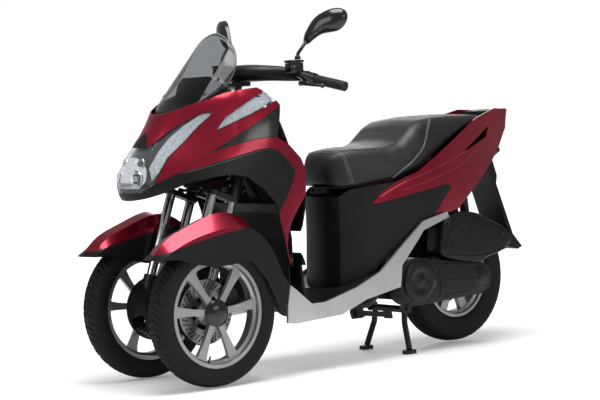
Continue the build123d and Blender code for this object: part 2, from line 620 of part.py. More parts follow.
with BuildPart() as leg_shield_inner:
    add(cowl_room)
    with BuildSketch(Plane.YZ):
        outline(side([(338, 968), (352, 900), (392, 800), (417, 716), (414, 610), (404, 536), (398, 455), (400, 330), (417, 242), (410, 242),
                      (393, 330), (391, 455), (397, 536), (407, 610), (410, 716), (385, 798), (345, 897), (330, 968)]))
    extrude(amount=300, both=True, mode=Mode.INTERSECT)
    with BuildSketch(Plane.YZ):  # foot of the panel, between the sills
        outline(side([(395, 382), (399.5, 330), (416, 242), (410, 242), (393, 330), (391.5, 382)]))
    extrude(amount=floor_half, both=True)
    for s in (1, -1):  # bosses on the down tubes
        with BuildSketch(Plane(origin=(s * 66, st(359 + frame_tube_r + 0.95), 450), x_dir=(1, 0, 0), z_dir=(0, 1, 0))):
            Circle(9)
        extrude(amount=391.6 - 359 - frame_tube_r)
leg_shield_inner.part.label = "leg_shield_inner"
export_step(leg_shield_inner.part, "parts/leg_shield_inner.step")

with BuildPart() as inner_fender:  # wall behind the front wheels, narrower between the sills
    add(cowl_room)
    with BuildSketch(Plane.YZ):
        outline(side([(325, 262), (333, 300), (334, 474), (313, 566), (275, 600), (278, 604), (317, 569), (338, 475), (337, 300), (329, 262)]))
    extrude(amount=300, both=True, mode=Mode.INTERSECT)
    with BuildSketch(Plane.YZ):
        outline(side([(325, 262), (333, 300), (333.5, 382), (337.5, 382), (337, 300), (329, 262)]))
    extrude(amount=floor_half, both=True)
inner_fender.part.label = "inner_fender"
export_step(inner_fender.part, "parts/inner_fender.step")

# ---------------------------------------------------------------- floor and sills
sill_top = [(331, 315), (358, 296), (425, 242), (489, 242), (643, 282), (757, 328), (916, 450), (980, 497), (1104, 524)]
sill_low = [(1112, 504), (979, 463), (945, 426), (864, 342), (853, 264), (685, 234), (566, 191), (352, 179), (314, 184)]
floor_t = 5.0
with BuildPart() as sills:
    for s in (1, -1):
        with BuildSketch(Plane.YZ.offset(s * (floor_half + seat_clear))):
            outline(side([*sill_top, *sill_low, (318, 250)]))
        extrude(amount=s * 10)
sills.part.label = "sills"
export_step(sills.part, "parts/sills.step")

with BuildPart() as floorboard:
    with BuildSketch(Plane.YZ):
        outline(side([(412, 241), (425, 232), (489, 232), (643, 270), (757, 318), (760, 312), (645, 264), (490, 226), (423, 226), (408, 237)]))
    extrude(amount=floor_half, both=True)
    with BuildSketch(Plane.XY.offset(floor_z + frame_tube_r + seat_clear)):  # pads on the frame tubes
        with Locations((96, st(457)), (-96, st(457))):
            Rectangle(24, 40)
    extrude(amount=226.5 - floor_z - frame_tube_r - seat_clear)
floorboard.part.label = "floorboard"
export_step(floorboard.part, "parts/floorboard.step")

# ---------------------------------------------------------------- rear body
rear_rows = (
    (236.0, 640.0, (92, 664), (150, 760), (178, 900), (170, 1080), (120, 1300)),
    (450.0, 640.0, (95, 666), (156, 770), (190, 930), (180, 1130), (112, 1400)),
    (620.0, 636.0, (95, 664), (160, 775), (200, 960), (188, 1180), (105, 1500)),
    (760.0, 640.0, (95, 666), (165, 800), (196, 980), (180, 1200), (92, 1545)),
    (912.0, 676.0, (82, 730), (134, 870), (164, 1030), (140, 1250), (78, 1582)),
)
rear_outer = form(rear_rows, 0)
rear_inner = form(rear_rows, shell_t, 2)
rear_room = form(rear_rows, shell_t + seat_clear, 2)
with BuildPart() as frame:
    add(rear_room)
    with BuildSketch(Plane(origin=(0, st(1300), 654), x_dir=(0, 1, 0), z_dir=(1, 0, 0))):  # stay that carries the tail panels
        Circle(9)
    extrude(amount=250, both=True, mode=Mode.INTERSECT)
    add(rails.part)
    for s in (1, -1):  # engine hangers
        with BuildSketch(Plane(origin=(s * (88 + seat_clear), st(826.5), 300), x_dir=(0, 1, 0), z_dir=(1, 0, 0))):
            Circle(12)
        extrude(amount=s * 30)
frame.part.label = "frame"
export_step(frame.part, "parts/frame.step")
with BuildPart() as rear_shell:
    add(rear_outer)
    add(rear_inner, mode=Mode.SUBTRACT)

tail_tip = (768, 568)
tail_top = [(804, 613), (862, 647), (970, 682), (1010, 703), (1117, 761), (1290, 847), (1342, 869), (1480, 905), (1580, 900), (1580, 850)]
tail_low = [(1500, 762), (1420, 694), (1190, 531), (1040, 503)]
tail_notch = [(1147, 618), (1111, 627), (919, 596)]
slot = [(1240, 750), (1425, 838), (1398, 796), (1252, 748)]  # hand slot between the two rails of the tail
rear_panels = (
    ("body_panels", [(560, 236), (560, 603), (668, 603), (700, 628), (770, 638), (862, 647), (804, 613), tail_tip, *reversed(tail_notch), (1040, 503),
                     (980, 491), (916, 444), (757, 320), (643, 272), (600, 236)]),
    ("tail_panels", [tail_tip, *tail_top, *tail_low, *tail_notch]),
)
for name, points in rear_panels:
    with BuildPart() as panel:
        add(rear_shell.part)
        with BuildSketch(Plane.YZ):
            outline(side(points))
        extrude(amount=300, both=True, mode=Mode.INTERSECT)
        if name == "tail_panels":
            with BuildSketch(Plane.YZ):
                outline(side(slot))
            extrude(amount=300, both=True, mode=Mode.SUBTRACT)
    panel.part.label = name
    export_step(panel.part, f"parts/{name}.step")

with BuildPart() as grab_rail:
    add(rear_room)
    with BuildSketch(Plane.YZ):
        outline(side([(1494, 862), (1500, 896), (1572, 903), (1572, 860)]))
    extrude(amount=200, both=True, mode=Mode.INTERSECT)
grab_rail.part.label = "grab_rail"
export_step(grab_rail.part, "parts/grab_rail.step")

with BuildPart() as tail_lamp:
    add(rear_room)
    with BuildSketch(Plane.YZ):
        outline(side([(1494, 859.6), (1572, 859.6), (1572, 845), (1520, 786), (1480, 786)]))
    extrude(amount=200, both=True, mode=Mode.INTERSECT)
tail_lamp.part.label = "tail_lamp"
export_step(tail_lamp.part, "parts/tail_lamp.step")

with BuildPart() as rear_mudguard:
    with BuildSketch(Plane.YZ):
        outline(side([(1180, 530), (1330, 604), (1440, 686), (1496, 716), (1524, 640), (1518, 610), (1604, 405), (1655, 352), (1630, 342), (1560, 358), (1588, 392),
                      (1488, 640), (1470, 690), (1446, 680), (1336, 598), (1186, 524)]))
    extrude(amount=66, both=True)
rear_mudguard.part.label = "rear_mudguard"
export_step(rear_mudguard.part, "parts/rear_mudguard.step")

bin_half, bin_wall = 114.0, 3.0
bin_front, bin_back, bin_floor, bin_rim = 716.0, 978.0, 396.0, 626.0
seat_hinge = (652.0, 620.0)  # station, height
hinge_pin_r = 3.0
with BuildPart() as storage_bin:
    with BuildSketch(Plane.XY.offset(bin_floor)):
        with Locations((0, st((bin_front + bin_back) / 2))):
            RectangleRounded(2 * bin_half, bin_back - bin_front, 30)
    extrude(amount=bin_rim - bin_floor)
    with BuildSketch(Plane.XY.offset(bin_floor + bin_wall)):
        with Locations((0, st((bin_front + bin_back) / 2))):
            RectangleRounded(2 * (bin_half - bin_wall), bin_back - bin_front - 2 * bin_wall, 27)
    extrude(amount=bin_rim - bin_floor, mode=Mode.SUBTRACT)
    for s in (1, -1):  # pads against the frame rails
        with BuildSketch(Plane(origin=(s * (bin_half - 0.5), st(900), 441), x_dir=(0, 1, 0), z_dir=(1, 0, 0))):
            Circle(12)
        extrude(amount=s * (134.8 - frame_tube_r - 0.6 - bin_half + 0.5))
    with BuildSketch(Plane.YZ):  # tongue and pin of the seat hinge
        outline(side([(646, 614), (718, 598), (718, 620), (657, 626), (646, 626)]))
    extrude(amount=27, both=True)
    with BuildSketch(Plane.YZ):
        with Locations((st(seat_hinge[0]), seat_hinge[1])):
            Circle(hinge_pin_r)
    extrude(amount=46, both=True)
storage_bin.part.label = "storage_bin"
export_step(storage_bin.part, "parts/storage_bin.step")

# ---------------------------------------------------------------- seat
# Columns: station, half width and height at the edge, half width at the shoulder, top height
seat_rows = (
    (640, 50, 640, 40, 738),
    (700, 110, 637, 86, 778),
    (800, 148, 650, 116, 785),
    (890, 172, 664, 130, 798),
    (980, 182, 692, 134, 846),
    (1080, 172, 748, 132, 873),
    (1200, 158, 810, 128, 884),
    (1330, 128, 858, 108, 885),
    (1480, 68, 866, 48, 873),
)
with BuildPart() as seat:
    for a, hb, zb, ht, zt in seat_rows:
        drop = min(20, 0.4 * (zt - zb))
        with BuildSketch(Plane(origin=(0, st(a), 0), x_dir=(-1, 0, 0), z_dir=(0, 1, 0))):
            with BuildLine() as edge:
                Line((-hb, zb), (hb, zb))
                Line((hb, zb), (ht, zt - drop))
                ThreePointArc((ht, zt - drop), (0, zt), (-ht, zt - drop))
                Line((-ht, zt - drop), (-hb, zb))
            make_face(edge.edges())
    loft(ruled=True)
seat.part.label = "seat"
export_step(seat.part, "parts/seat.step")

with BuildPart() as seat_pan:  # base plate, its top face against the cushion
    for a, hb, zb, ht, zt in seat_rows:
        with BuildSketch(Plane(origin=(0, st(a), 0), x_dir=(-1, 0, 0), z_dir=(0, 1, 0))):
            with Locations((0, zb - 2)):
                Rectangle(2 * hb - 24, 8)
    loft(ruled=True)
    add(Pos(0, 0, -seat_clear) * seat.part, mode=Mode.SUBTRACT)
    for s in (1, -1):  # hinge knuckles
        with BuildSketch(Plane.YZ.offset(s * 30)):
            outline(side([(646, 619), (646, 634), (658, 634), (658, 619)]))
            with Locations((st(seat_hinge[0]), seat_hinge[1])):
                Circle(6)
                Circle(hinge_pin_r + run_clear, mode=Mode.SUBTRACT)
        extrude(amount=s * 14)
seat_pan.part.label = "seat_pan"
export_step(seat_pan.part, "parts/seat_pan.step")

# ---------------------------------------------------------------- engine and drive
with BuildPart() as engine:
    with BuildSketch(Plane.YZ):
        outline(side([(775, 238), (852, 214), (1030, 190), (1046, 240), (1036, 352), (900, 372), (850, 330), (775, 330)]))
    extrude(amount=88, both=True)
engine.part.label = "engine"
export_step(engine.part, "parts/engine.step")

cvt_in, cvt_out = 98.0, 166.0
shock_pin_r = 8.0
with BuildPart() as cvt_case:
    with BuildSketch(Plane.YZ.offset(cvt_in)):  # lug of the shock
        outline(side([(1310, 300), (1368, 290), (1364, 342), (1336, 344)]))
    extrude(amount=5.7)
    with BuildSketch(Plane.YZ.offset(cvt_in)):
        with Locations((st(972), 270)):
            Circle(90)
        with Locations((rear_axle_y, rear_axle_z)):
            Circle(60)
        outline(side([(972, 360), (1310, rear_axle_z + 60), (1310, rear_axle_z - 60), (972, 180)]))
    extrude(amount=cvt_out - cvt_in)
    with BuildSketch(Plane(origin=(62, rear_axle_y, rear_axle_z), x_dir=(0, 1, 0), z_dir=(1, 0, 0))):
        Circle(24)
    extrude(amount=cvt_in - 62)
    with BuildSketch(Plane.YZ.offset(88 + seat_clear)):  # joins the crankcase
        with Locations((st(972), 270)):
            Circle(70)
    extrude(amount=9.8)
    with BuildSketch(Plane.YZ.offset(cvt_out)):  # round cap
        with Locations((st(1044), 262)):
            Circle(24)
    extrude(amount=8)
cvt_case.part.label = "cvt_case"
export_step(cvt_case.part, "parts/cvt_case.step")

with BuildPart() as airbox:
    with BuildSketch(Plane.YZ.offset(104)):
        outline(side([(1090, 345.7), (1106, 474), (1145, 516), (1220, 520), (1295, 511), (1430, 452), (1494, 390), (1425, 352), (1342, 339), (1300, 319.2)]))
    extrude(amount=84)
    with BuildSketch(Plane.YZ.offset(66 + seat_clear)):  # foot that carries the mudguard
        outline(side([(1186, 500), (1240, 500), (1240, 562), (1186, 530)]))
    extrude(amount=40)
airbox.part.label = "airbox"
export_step(airbox.part, "parts/airbox.step")

with BuildPart() as swing_arm:  # right-hand arm and the axle
    with BuildSketch(Plane.YZ.offset(-112)):
        outline(side([(1000, 250), (1060, 330), (1322, 293), (1336, 344), (1364, 342), (1368, 284), (1352, 262), (1330, 226), (1310, 222), (1060, 208)]))
    extrude(amount=18)
    with BuildSketch(Plane.YZ.offset(-94)):
        outline(side([(1000, 250), (1030, 310), (1076, 300), (1076, 222), (1020, 214)]))
    extrude(amount=6 - seat_clear)
    with BuildSketch(Plane(origin=(-112, rear_axle_y, rear_axle_z), x_dir=(0, 1, 0), z_dir=(1, 0, 0))):
        Circle(rear_axle_r)
    extrude(amount=112 + 61.8)
    with BuildSketch(Plane(origin=(-95, rear_axle_y, rear_axle_z), x_dir=(0, 1, 0), z_dir=(1, 0, 0))):
        Circle(20)
    extrude(amount=34)
swing_arm.part.label = "swing_arm"
export_step(swing_arm.part, "parts/swing_arm.step")

with BuildPart() as exhaust:
    muffler = Plane(origin=(-168, st(1090), 262), x_dir=(1, 0, 0), z_dir=(0, 0.985, 0.172))
    with BuildSketch(muffler):
        RectangleRounded(78, 96, 34)
    with BuildSketch(muffler.offset(60)):
        RectangleRounded(96, 122, 44)
    with BuildSketch(muffler.offset(400)):
        RectangleRounded(96, 122, 44)
    with BuildSketch(muffler.offset(470)):
        RectangleRounded(70, 88, 32)
    loft(ruled=True)
    with BuildLine() as run:
        FilletPolyline((-40, st(812), 215.3), (-40, st(836), 172), (-112, st(940), 166), (-160, st(1010), 232), (-168, st(1092), 262.4), radius=30)
    with BuildSketch(Plane(origin=run.line @ 0, z_dir=run.line % 0)):
        Circle(14)
    sweep(path=run.line)
exhaust.part.label = "exhaust"
export_step(exhaust.part, "parts/exhaust.step")

with BuildPart() as rear_shocks:
    for s in (1, -1):
        low, top = Vector(s * 80, st(1350), 330), Vector(s * 84, st(1300), 642.3)
        axis = (top - low).normalized()
        for d0, d1, r in ((0, 120, 13), (60, 235, 18), (225, (top - low).length, 15)):
            with BuildSketch(Plane(origin=low + axis * d0, z_dir=axis)):
                Circle(r)
            extrude(amount=d1 - d0)
        with BuildSketch(Plane(origin=low, x_dir=(0, 1, 0), z_dir=(1, 0, 0))):  # lower pin, against the lug of the case or the arm
            Circle(shock_pin_r)
        extrude(amount=(cvt_in if s > 0 else -94) - s * 80 - s * seat_clear)
rear_shocks.part.label = "rear_shocks"
export_step(rear_shocks.part, "parts/rear_shocks.step")

# ---------------------------------------------------------------- stands
stand_pivot = (985.0, 162.0)  # station, height
with BuildPart() as centre_stand:
    with BuildSketch(Plane(origin=(-92, st(stand_pivot[0]), stand_pivot[1]), x_dir=(0, 1, 0), z_dir=(1, 0, 0))):
        Circle(13)
    extrude(amount=184)
    for s in (1, -1):
        with BuildLine() as run:
            FilletPolyline((s * 80, st(stand_pivot[0]), stand_pivot[1]), (s * 84, st(stand_pivot[0] - 4), 110), (s * 118, st(stand_pivot[0] - 16), 16), radius=30)
        with BuildSketch(Plane(origin=run.line @ 0, z_dir=run.line % 0)):
            Circle(11)
        sweep(path=run.line)
        with BuildSketch(Plane(origin=(s * 120, st(stand_pivot[0] - 18), 0), x_dir=(1, 0, 0), z_dir=(0, 0, 1))):
            RectangleRounded(34, 52, 10)
        extrude(amount=14)
    with BuildSketch(Plane(origin=(-92, st(stand_pivot[0]), stand_pivot[1]), x_dir=(0, 1, 0), z_dir=(1, 0, 0))):
        Circle(8 + run_clear)
    extrude(amount=184, mode=Mode.SUBTRACT)
centre_stand.part.label = "centre_stand"
export_step(centre_stand.part, "parts/centre_stand.step")

with BuildPart() as centre_bracket:
    with BuildSketch(Plane(origin=(-104, st(stand_pivot[0]), stand_pivot[1]), x_dir=(0, 1, 0), z_dir=(1, 0, 0))):
        Circle(8)
    extrude(amount=208)
    for s in (1, -1):
        with BuildSketch(Plane.YZ.offset(s * 93)):
            outline(side([(966, 150), (1004, 150), (1010, 178), (1000, 181), (950, 181), (944, 178)]))
        extrude(amount=s * 5)

side_pivot = (140.0, 700.0, 178.0)  # X, station, height
side_axis = (0.936, 0, 0.352)
side_stand_len = 156.0
with BuildPart() as side_stand:
    with BuildSketch(Plane(origin=(side_pivot[0], st(side_pivot[1]), side_pivot[2]), x_dir=(0.05, 0.99, -0.132), z_dir=side_axis)):
        Circle(15)
        with Locations((side_stand_len / 2, 0)):
            Rectangle(side_stand_len, 18)
        with Locations((side_stand_len - 18, 0)):
            Rectangle(36, 28)
        Circle(5 + run_clear, mode=Mode.SUBTRACT)
    extrude(amount=8)
side_stand.part.label = "side_stand"
export_step(side_stand.part, "parts/side_stand.step")

with BuildPart() as stand_brackets:  # lug of the side stand beside the axle of the centre stand
    pin = Plane(origin=(side_pivot[0], st(side_pivot[1]), side_pivot[2]), x_dir=(0, 1, 0), z_dir=side_axis)
    with BuildSketch(pin.offset(-10)):
        Circle(5)
    extrude(amount=20)
    with BuildSketch(pin.offset(-10)):
        RectangleRounded(60, 34, 8)
    extrude(amount=9.7)
    with BuildSketch(Plane.YZ.offset(127.2)):
        outline(side([(674, 172), (726, 172), (726, 205), (674, 205)]))
    extrude(amount=6)
    add(centre_bracket.part)
stand_brackets.part.label = "stand_brackets"
export_step(stand_brackets.part, "parts/stand_brackets.step")

# ---------------------------------------------------------------- front fenders
# Radial sections round the axle. Columns: angle up from straight ahead, crest radius, shoulder radius.
fender_rows = ((30, 346, 332), (48, 320, 296), (64, 314, 280), (80, 318, 276), (97, 338, 286), (116, 332, 304), (136, 318, 300), (160, 300, 290), (186, 280, 274))
fender_out, fender_in, fender_t = 57.0, -52.0, 3.0
red_edge = [(-300, 441), (-276, 450), (-174, 479), (-58, 503), (31, 520), (134, 535), (174, 538)]
for name, s in (("left", 1), ("right", -1)):
    wx = s * front_track / 2
    kp = steer_plane(s * kingpin_x)
    with BuildPart() as shell:
        for inset, mode in ((0, Mode.ADD), (fender_t, Mode.SUBTRACT)):
            with BuildPart(mode=Mode.PRIVATE) as skin:
                for angle, crest, shoulder in fender_rows:
                    c, d = cos(radians(angle)), sin(radians(angle))
                    with BuildSketch(Plane(origin=(wx, front_axle_y, front_tyre_r), x_dir=(1, 0, 0), z_dir=(0, -d, -c))):
                        outline([(s * (fender_out - inset), 140), (s * (fender_out + 1 - inset), shoulder - inset), (s * 12, crest - inset),
                                 (s * -34, crest - 10 - inset), (s * (fender_in + inset), shoulder - inset), (s * (fender_in + inset), 140)])
                loft()
            add(skin.part, mode=mode)
    with BuildPart() as fender:
        add(shell.part)
        with BuildSketch(Plane.YZ):
            outline(side([*red_edge, (230, 620), (60, 680), (-330, 600)]))
        extrude(amount=400, both=True, mode=Mode.INTERSECT)
    fender.part.label = f"fender_{name}"
    export_step(fender.part, f"parts/fender_{name}.step")
    with BuildPart() as skirt:
        add(shell.part)
        with BuildSketch(Plane.YZ):
            outline(side([*red_edge, (318, 420), (300, 330), (272, 240), (250, 236), (238, 262), (191, 350), (128, 419), (55, 411), (-27, 407), (-119, 427),
                          (-175, 443), (-254, 444), (-293, 436)]))
        extrude(amount=400, both=True, mode=Mode.INTERSECT)
        with BuildSketch(kp.offset(196)):  # lug between the fork tubes
            with Locations((s * 7, -leg_spacing / 2)):
                Rectangle(34, leg_spacing - 2 * fork_tube_r - 2 * seat_clear)
        extrude(amount=26)
    skirt.part.label = f"fender_skirt_{name}"
    export_step(skirt.part, f"parts/fender_skirt_{name}.step")
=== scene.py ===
# %% [markdown]
# # A leaning three-wheeled scooter
# The rigid model is loaded first and stays as it is. Everything below either
# gives one of its pieces a finish or adds a finer piece that rides with it.
# Side views are written as pairs of (station, height): millimetres behind the
# front axle and above the ground. Finished pieces are in metres.

# %% Load the model
import math

import bpy
import bmesh
import numpy as np
from mathutils import Matrix, Vector
from mathutils.bvhtree import BVHTree


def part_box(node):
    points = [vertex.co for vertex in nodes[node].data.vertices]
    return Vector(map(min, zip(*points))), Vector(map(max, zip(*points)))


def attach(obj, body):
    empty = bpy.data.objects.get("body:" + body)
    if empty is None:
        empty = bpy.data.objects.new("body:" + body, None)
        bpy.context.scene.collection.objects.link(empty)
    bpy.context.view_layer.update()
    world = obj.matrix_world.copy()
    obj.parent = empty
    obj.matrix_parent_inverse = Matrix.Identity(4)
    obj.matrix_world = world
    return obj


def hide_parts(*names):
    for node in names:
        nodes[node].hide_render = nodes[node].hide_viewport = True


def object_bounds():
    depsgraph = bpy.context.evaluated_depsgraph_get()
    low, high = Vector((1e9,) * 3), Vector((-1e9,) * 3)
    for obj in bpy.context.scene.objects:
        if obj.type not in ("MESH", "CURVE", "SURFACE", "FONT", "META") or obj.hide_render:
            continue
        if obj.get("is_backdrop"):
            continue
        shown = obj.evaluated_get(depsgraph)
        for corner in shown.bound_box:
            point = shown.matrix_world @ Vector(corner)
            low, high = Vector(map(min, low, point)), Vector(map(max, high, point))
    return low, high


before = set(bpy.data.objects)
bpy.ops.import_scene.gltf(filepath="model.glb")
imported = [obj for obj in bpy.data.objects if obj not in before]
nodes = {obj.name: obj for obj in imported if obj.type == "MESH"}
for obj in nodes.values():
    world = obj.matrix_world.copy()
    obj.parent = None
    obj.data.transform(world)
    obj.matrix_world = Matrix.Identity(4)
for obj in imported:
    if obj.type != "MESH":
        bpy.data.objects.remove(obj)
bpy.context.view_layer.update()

# %% [markdown]
# ## Camera
# A long lens far away keeps the two front wheels nearly the same size. The three
# direction vectors are the columns of the camera's own axes.

# %% Camera
camera_data = bpy.data.cameras.new("camera")
camera_data.lens = 108.44
camera_data.sensor_width = 36.0
camera_data.clip_end = 200.0
camera = bpy.data.objects.new("camera", camera_data)
bpy.context.scene.collection.objects.link(camera)
view_right = Vector((0.64305569, 0.76490352, -0.03744298))
view_up = Vector((-0.00851877, 0.0560343, 0.9983925))
view_ahead = Vector((-0.76577204, 0.64170301, -0.04254921))
turn = Matrix((view_right, view_up, -view_ahead)).transposed().to_4x4()
camera_at = (5.02302, -4.34957, 0.87534)
camera.matrix_world = Matrix.Translation(camera_at) @ turn
bpy.context.scene.camera = camera
print("camera at", tuple(round(v, 2) for v in camera.location))

# %% [markdown]
# ## Materials
# Each finish is one Principled shader. Colours are written as they look on a
# screen, in hex, and one function turns them to linear light. Grain and patches
# are drawn from real sizes in millimetres, on Object coordinates.

# %% Helpers for materials
def linear(hex_colour):
    """Screen colour to linear light."""
    channels = [int(hex_colour[i:i + 2], 16) / 255 for i in (1, 3, 5)]
    return [c / 12.92 if c <= 0.04045 else ((c + 0.055) / 1.055) ** 2.4 for c in channels] + [1.0]


def add_node(tree, kind, inputs=None, **settings):
    """Adds one node with its settings; an input is a number or another node's socket."""
    node = tree.nodes.new(kind)
    for name, value in settings.items():
        setattr(node, name, value)
    for name, value in (inputs or {}).items():
        if isinstance(value, bpy.types.NodeSocket):
            tree.links.new(value, node.inputs[name])
        else:
            node.inputs[name].default_value = value
    return node


def paint(mesh, material):
    """Gives a mesh one finish and no other."""
    mesh.materials.clear()
    mesh.materials.append(material)


patch_levels = (0.35, 0.65)  # levels of the noise where one colour gives way to the other
wear_levels = (0.3, 0.7)  # levels between which the roughness changes
wear_shares = (0.9, 1.12)  # shares of the roughness at those levels
bump_strength = 0.5


def finish_of(
    name, colour, rough, metal=0.0, spread=None, grain_mm=0.0, grain_depth_mm=0.0, patch_mm=0.0, **extra
):
    """A named finish: base colour with slow patches, and a fine bump of a real grain size."""
    material = bpy.data.materials.new(name)
    material.use_nodes = True
    tree = material.node_tree
    shader = tree.nodes["Principled BSDF"]
    settings = {"Base Color": linear(colour), "Roughness": rough, "Metallic": metal}
    for key, value in {**settings, **extra}.items():
        shader.inputs[key.replace("_", " ")].default_value = value
    place = add_node(tree, "ShaderNodeTexCoord").outputs["Object"]
    if spread:
        patches = add_node(
            tree, "ShaderNodeTexNoise", {"Vector": place, "Scale": 1000.0 / patch_mm, "Detail": 4.0})
        ramp = add_node(tree, "ShaderNodeValToRGB", {"Fac": patches.outputs["Fac"]})
        for element, level, shade in zip(ramp.color_ramp.elements, patch_levels, (colour, spread)):
            element.position, element.color = level, linear(shade)
        tree.links.new(ramp.outputs["Color"], shader.inputs["Base Color"])
        wear = add_node(
            tree, "ShaderNodeMapRange",
            {
                "Value": patches.outputs["Fac"], "From Min": wear_levels[0], "From Max": wear_levels[1],
                "To Min": rough * wear_shares[0], "To Max": min(1.0, rough * wear_shares[1])})
        tree.links.new(wear.outputs["Result"], shader.inputs["Roughness"])
    if grain_mm:
        grain = add_node(
            tree, "ShaderNodeTexNoise", {"Vector": place, "Scale": 1000.0 / grain_mm, "Detail": 2.0})
        bump = add_node(
            tree, "ShaderNodeBump",
            {"Height": grain.outputs["Fac"], "Strength": bump_strength, "Distance": grain_depth_mm / 1000.0})
        tree.links.new(bump.outputs["Normal"], shader.inputs["Normal"])
    return material


# %% Finishes
# The values after a name are colour, roughness, metal, the patches' second colour,
# then grain size, grain depth and patch size in millimetres.
# Lacquered ABS: metallic red base coat under clear lacquer, with a fine flake grain.
red_lacquer = finish_of(
    "red_metallic_lacquer", "#980b2c", 0.27, 0.72, "#880a26", 0.9, 0.02, 90, Coat_Weight=0.35,
    Coat_Roughness=0.12)
# Silver base coat on moulded ABS, the same way but paler.
silver_lacquer = finish_of(
    "silver_metallic_lacquer", "#c9cbcd", 0.3, 0.85, "#bfc1c3", 0.9, 0.02, 120, Coat_Weight=0.3,
    Coat_Roughness=0.15)
# Polypropylene moulded in a spark-eroded tool: an even fine grain.
grained_black = finish_of(
    "grained_black_polypropylene", "#0b0b0c", 0.42, 0.0, "#0f0f10", 1.3, 0.1, 60, Specular_IOR_Level=0.28)
# ABS from a polished tool: dark, half gloss.
smooth_black = finish_of(
    "smooth_black_abs", "#0e0e0f", 0.22, 0.0, "#111112", 0.0, 0.0, 80, Coat_Weight=0.3, Coat_Roughness=0.1)
# Powder-coated steel tube: satin with a slight orange peel of 3 mm.
coated_steel = finish_of("black_powder_coated_steel", "#101011", 0.4, 0.2, "#151516", 3.0, 0.05, 50)
# Cast and painted wheel alloy.
wheel_alloy = finish_of("silver_painted_cast_alloy", "#a8aaac", 0.36, 0.85, "#9c9ea0", 1.6, 0.03, 70)
# Hard chrome on the fork tubes.
hard_chrome = finish_of("hard_chrome", "#cfd0d2", 0.09, 1.0, "#c8c9cb", 0.0, 0.0, 40)
# Ground stainless steel of the brake discs.
ground_steel = finish_of("ground_stainless_steel", "#8f9092", 0.3, 1.0, "#7c7d7f", 0.8, 0.03, 12)
# Vulcanised tyre rubber: nearly black, dull, slightly dusty.
tyre_rubber = finish_of(
    "vulcanised_tyre_rubber", "#121213", 0.7, 0.0, "#161616", 1.5, 0.1, 30, Specular_IOR_Level=0.25)
# Softer rubber of grips and foot mats.
soft_rubber = finish_of("soft_black_rubber", "#131314", 0.6, 0.0, "#181818", 1.0, 0.08, 20)
# Embossed vinyl over moulded foam: leather-like pebbles of 2 mm.
seat_vinyl = finish_of("embossed_seat_vinyl", "#0d0d0e", 0.48, 0.0, "#171718", 2.0, 0.25, 35)
# Cast aluminium cases with black paint.
painted_casting = finish_of(
    "black_painted_casting", "#0f0f10", 0.36, 0.1, "#151516", 1.8, 0.12, 25, Specular_IOR_Level=0.35)
# Polycarbonate lenses, clear and red, and the smoke-tinted acrylic screen.
clear_lens = finish_of("clear_polycarbonate", "#f6f8fa", 0.03, 0.0, Transmission_Weight=1.0, IOR=1.45)
red_lens = finish_of("red_polycarbonate", "#a1101a", 0.08, 0.0, Transmission_Weight=0.75, IOR=1.45)
smoke_acrylic = finish_of("smoke_tinted_acrylic", "#84888b", 0.02, 0.0, Transmission_Weight=1.0, IOR=1.3)
# Mirror glass and the lamp's coated reflector, nearly perfect mirrors.
silvered_glass = finish_of("silvered_mirror_glass", "#dfe1e3", 0.02, 1.0)
reflector_silver = finish_of("vapour_coated_reflector", "#d8dade", 0.16, 1.0)
# Milky polycarbonate of the light guides; its slight glow is painted light, not a lamp.
guide_white_painted_glow = finish_of(
    "white_light_guide", "#c9ced3", 0.2, 0.0, "#a7adb3", 6.0, 0.6, 9, Emission_Color=(1, 1, 1, 1),
    Emission_Strength=0.05)
# Polyester thread and zinc-plated steel.
stitch_thread = finish_of("grey_polyester_thread", "#9a9b9d", 0.7)
zinc_screw = finish_of("black_zinc_screw", "#3a3b3d", 0.34, 0.9)
print("finishes:", len(bpy.data.materials))

# %% [markdown]
# Every piece of the model takes one of these finishes. Pieces that get a finer
# stand-in further down are hidden there.

# %% Give each piece its finish
finishes = {
    red_lacquer: ("cowl", "leg_shield_bands", "tail_panels", "fender_left", "fender_right"),
    silver_lacquer: ("sills",),
    wheel_alloy: ("front_rim_left", "front_rim_right", "rear_rim"),
    tyre_rubber: ("front_tyre_left", "front_tyre_right", "rear_tyre"),
    ground_steel: ("front_disc_left", "front_disc_right", "rear_disc"),
    hard_chrome: ("fork_tubes_left", "fork_tubes_right"),
    clear_lens: ("headlamp", "turn_signals"),
    red_lens: ("tail_lamp",),
    smoke_acrylic: ("windscreen",),
    silvered_glass: ("mirror_glass",),
    seat_vinyl: ("seat",),
    soft_rubber: ("grips",),
    smooth_black: ("vent_panels", "hub_cap_left", "hub_cap_right", "mirrors", "handlebar_cover"),
    painted_casting: ("cvt_case", "engine", "swing_arm"),
    coated_steel: (
        "fork_left", "fork_right", "frame", "side_tubes", "tilt_arms", "tie_rod", "handlebar", "centre_stand",
        "side_stand", "stand_brackets", "exhaust", "rear_shocks"),
}
finish_by_node = {name: material for material, names in finishes.items() for name in names}
for name, piece in nodes.items():
    paint(piece.data, finish_by_node.get(name, grained_black))
print("with their own finish:", len(finish_by_node), "in grained black:", len(nodes) - len(finish_by_node))

# %% [markdown]
# ## Tyres
# A road tyre is a ring with a rounded crown and slanted grooves. The ring is a
# grid wrapped round the axle; where a point falls in a groove it is pushed
# towards the axle, so the grooves are real and catch the light.

# %% Helpers for meshes
def placed(name, data):
    """Links a new object that carries the data."""
    thing = bpy.data.objects.new(name, data)
    bpy.context.scene.collection.objects.link(thing)
    return thing


def evaluated(thing):
    """The mesh of an object with its modifiers applied."""
    bpy.context.view_layer.update()
    return bpy.data.meshes.new_from_object(thing.evaluated_get(bpy.context.evaluated_depsgraph_get()))


def mesh_of(name, points, faces=()):
    """A mesh of points in metres and faces."""
    mesh = bpy.data.meshes.new(name)
    mesh.from_pydata([tuple(p) for p in points], [], faces)
    return mesh


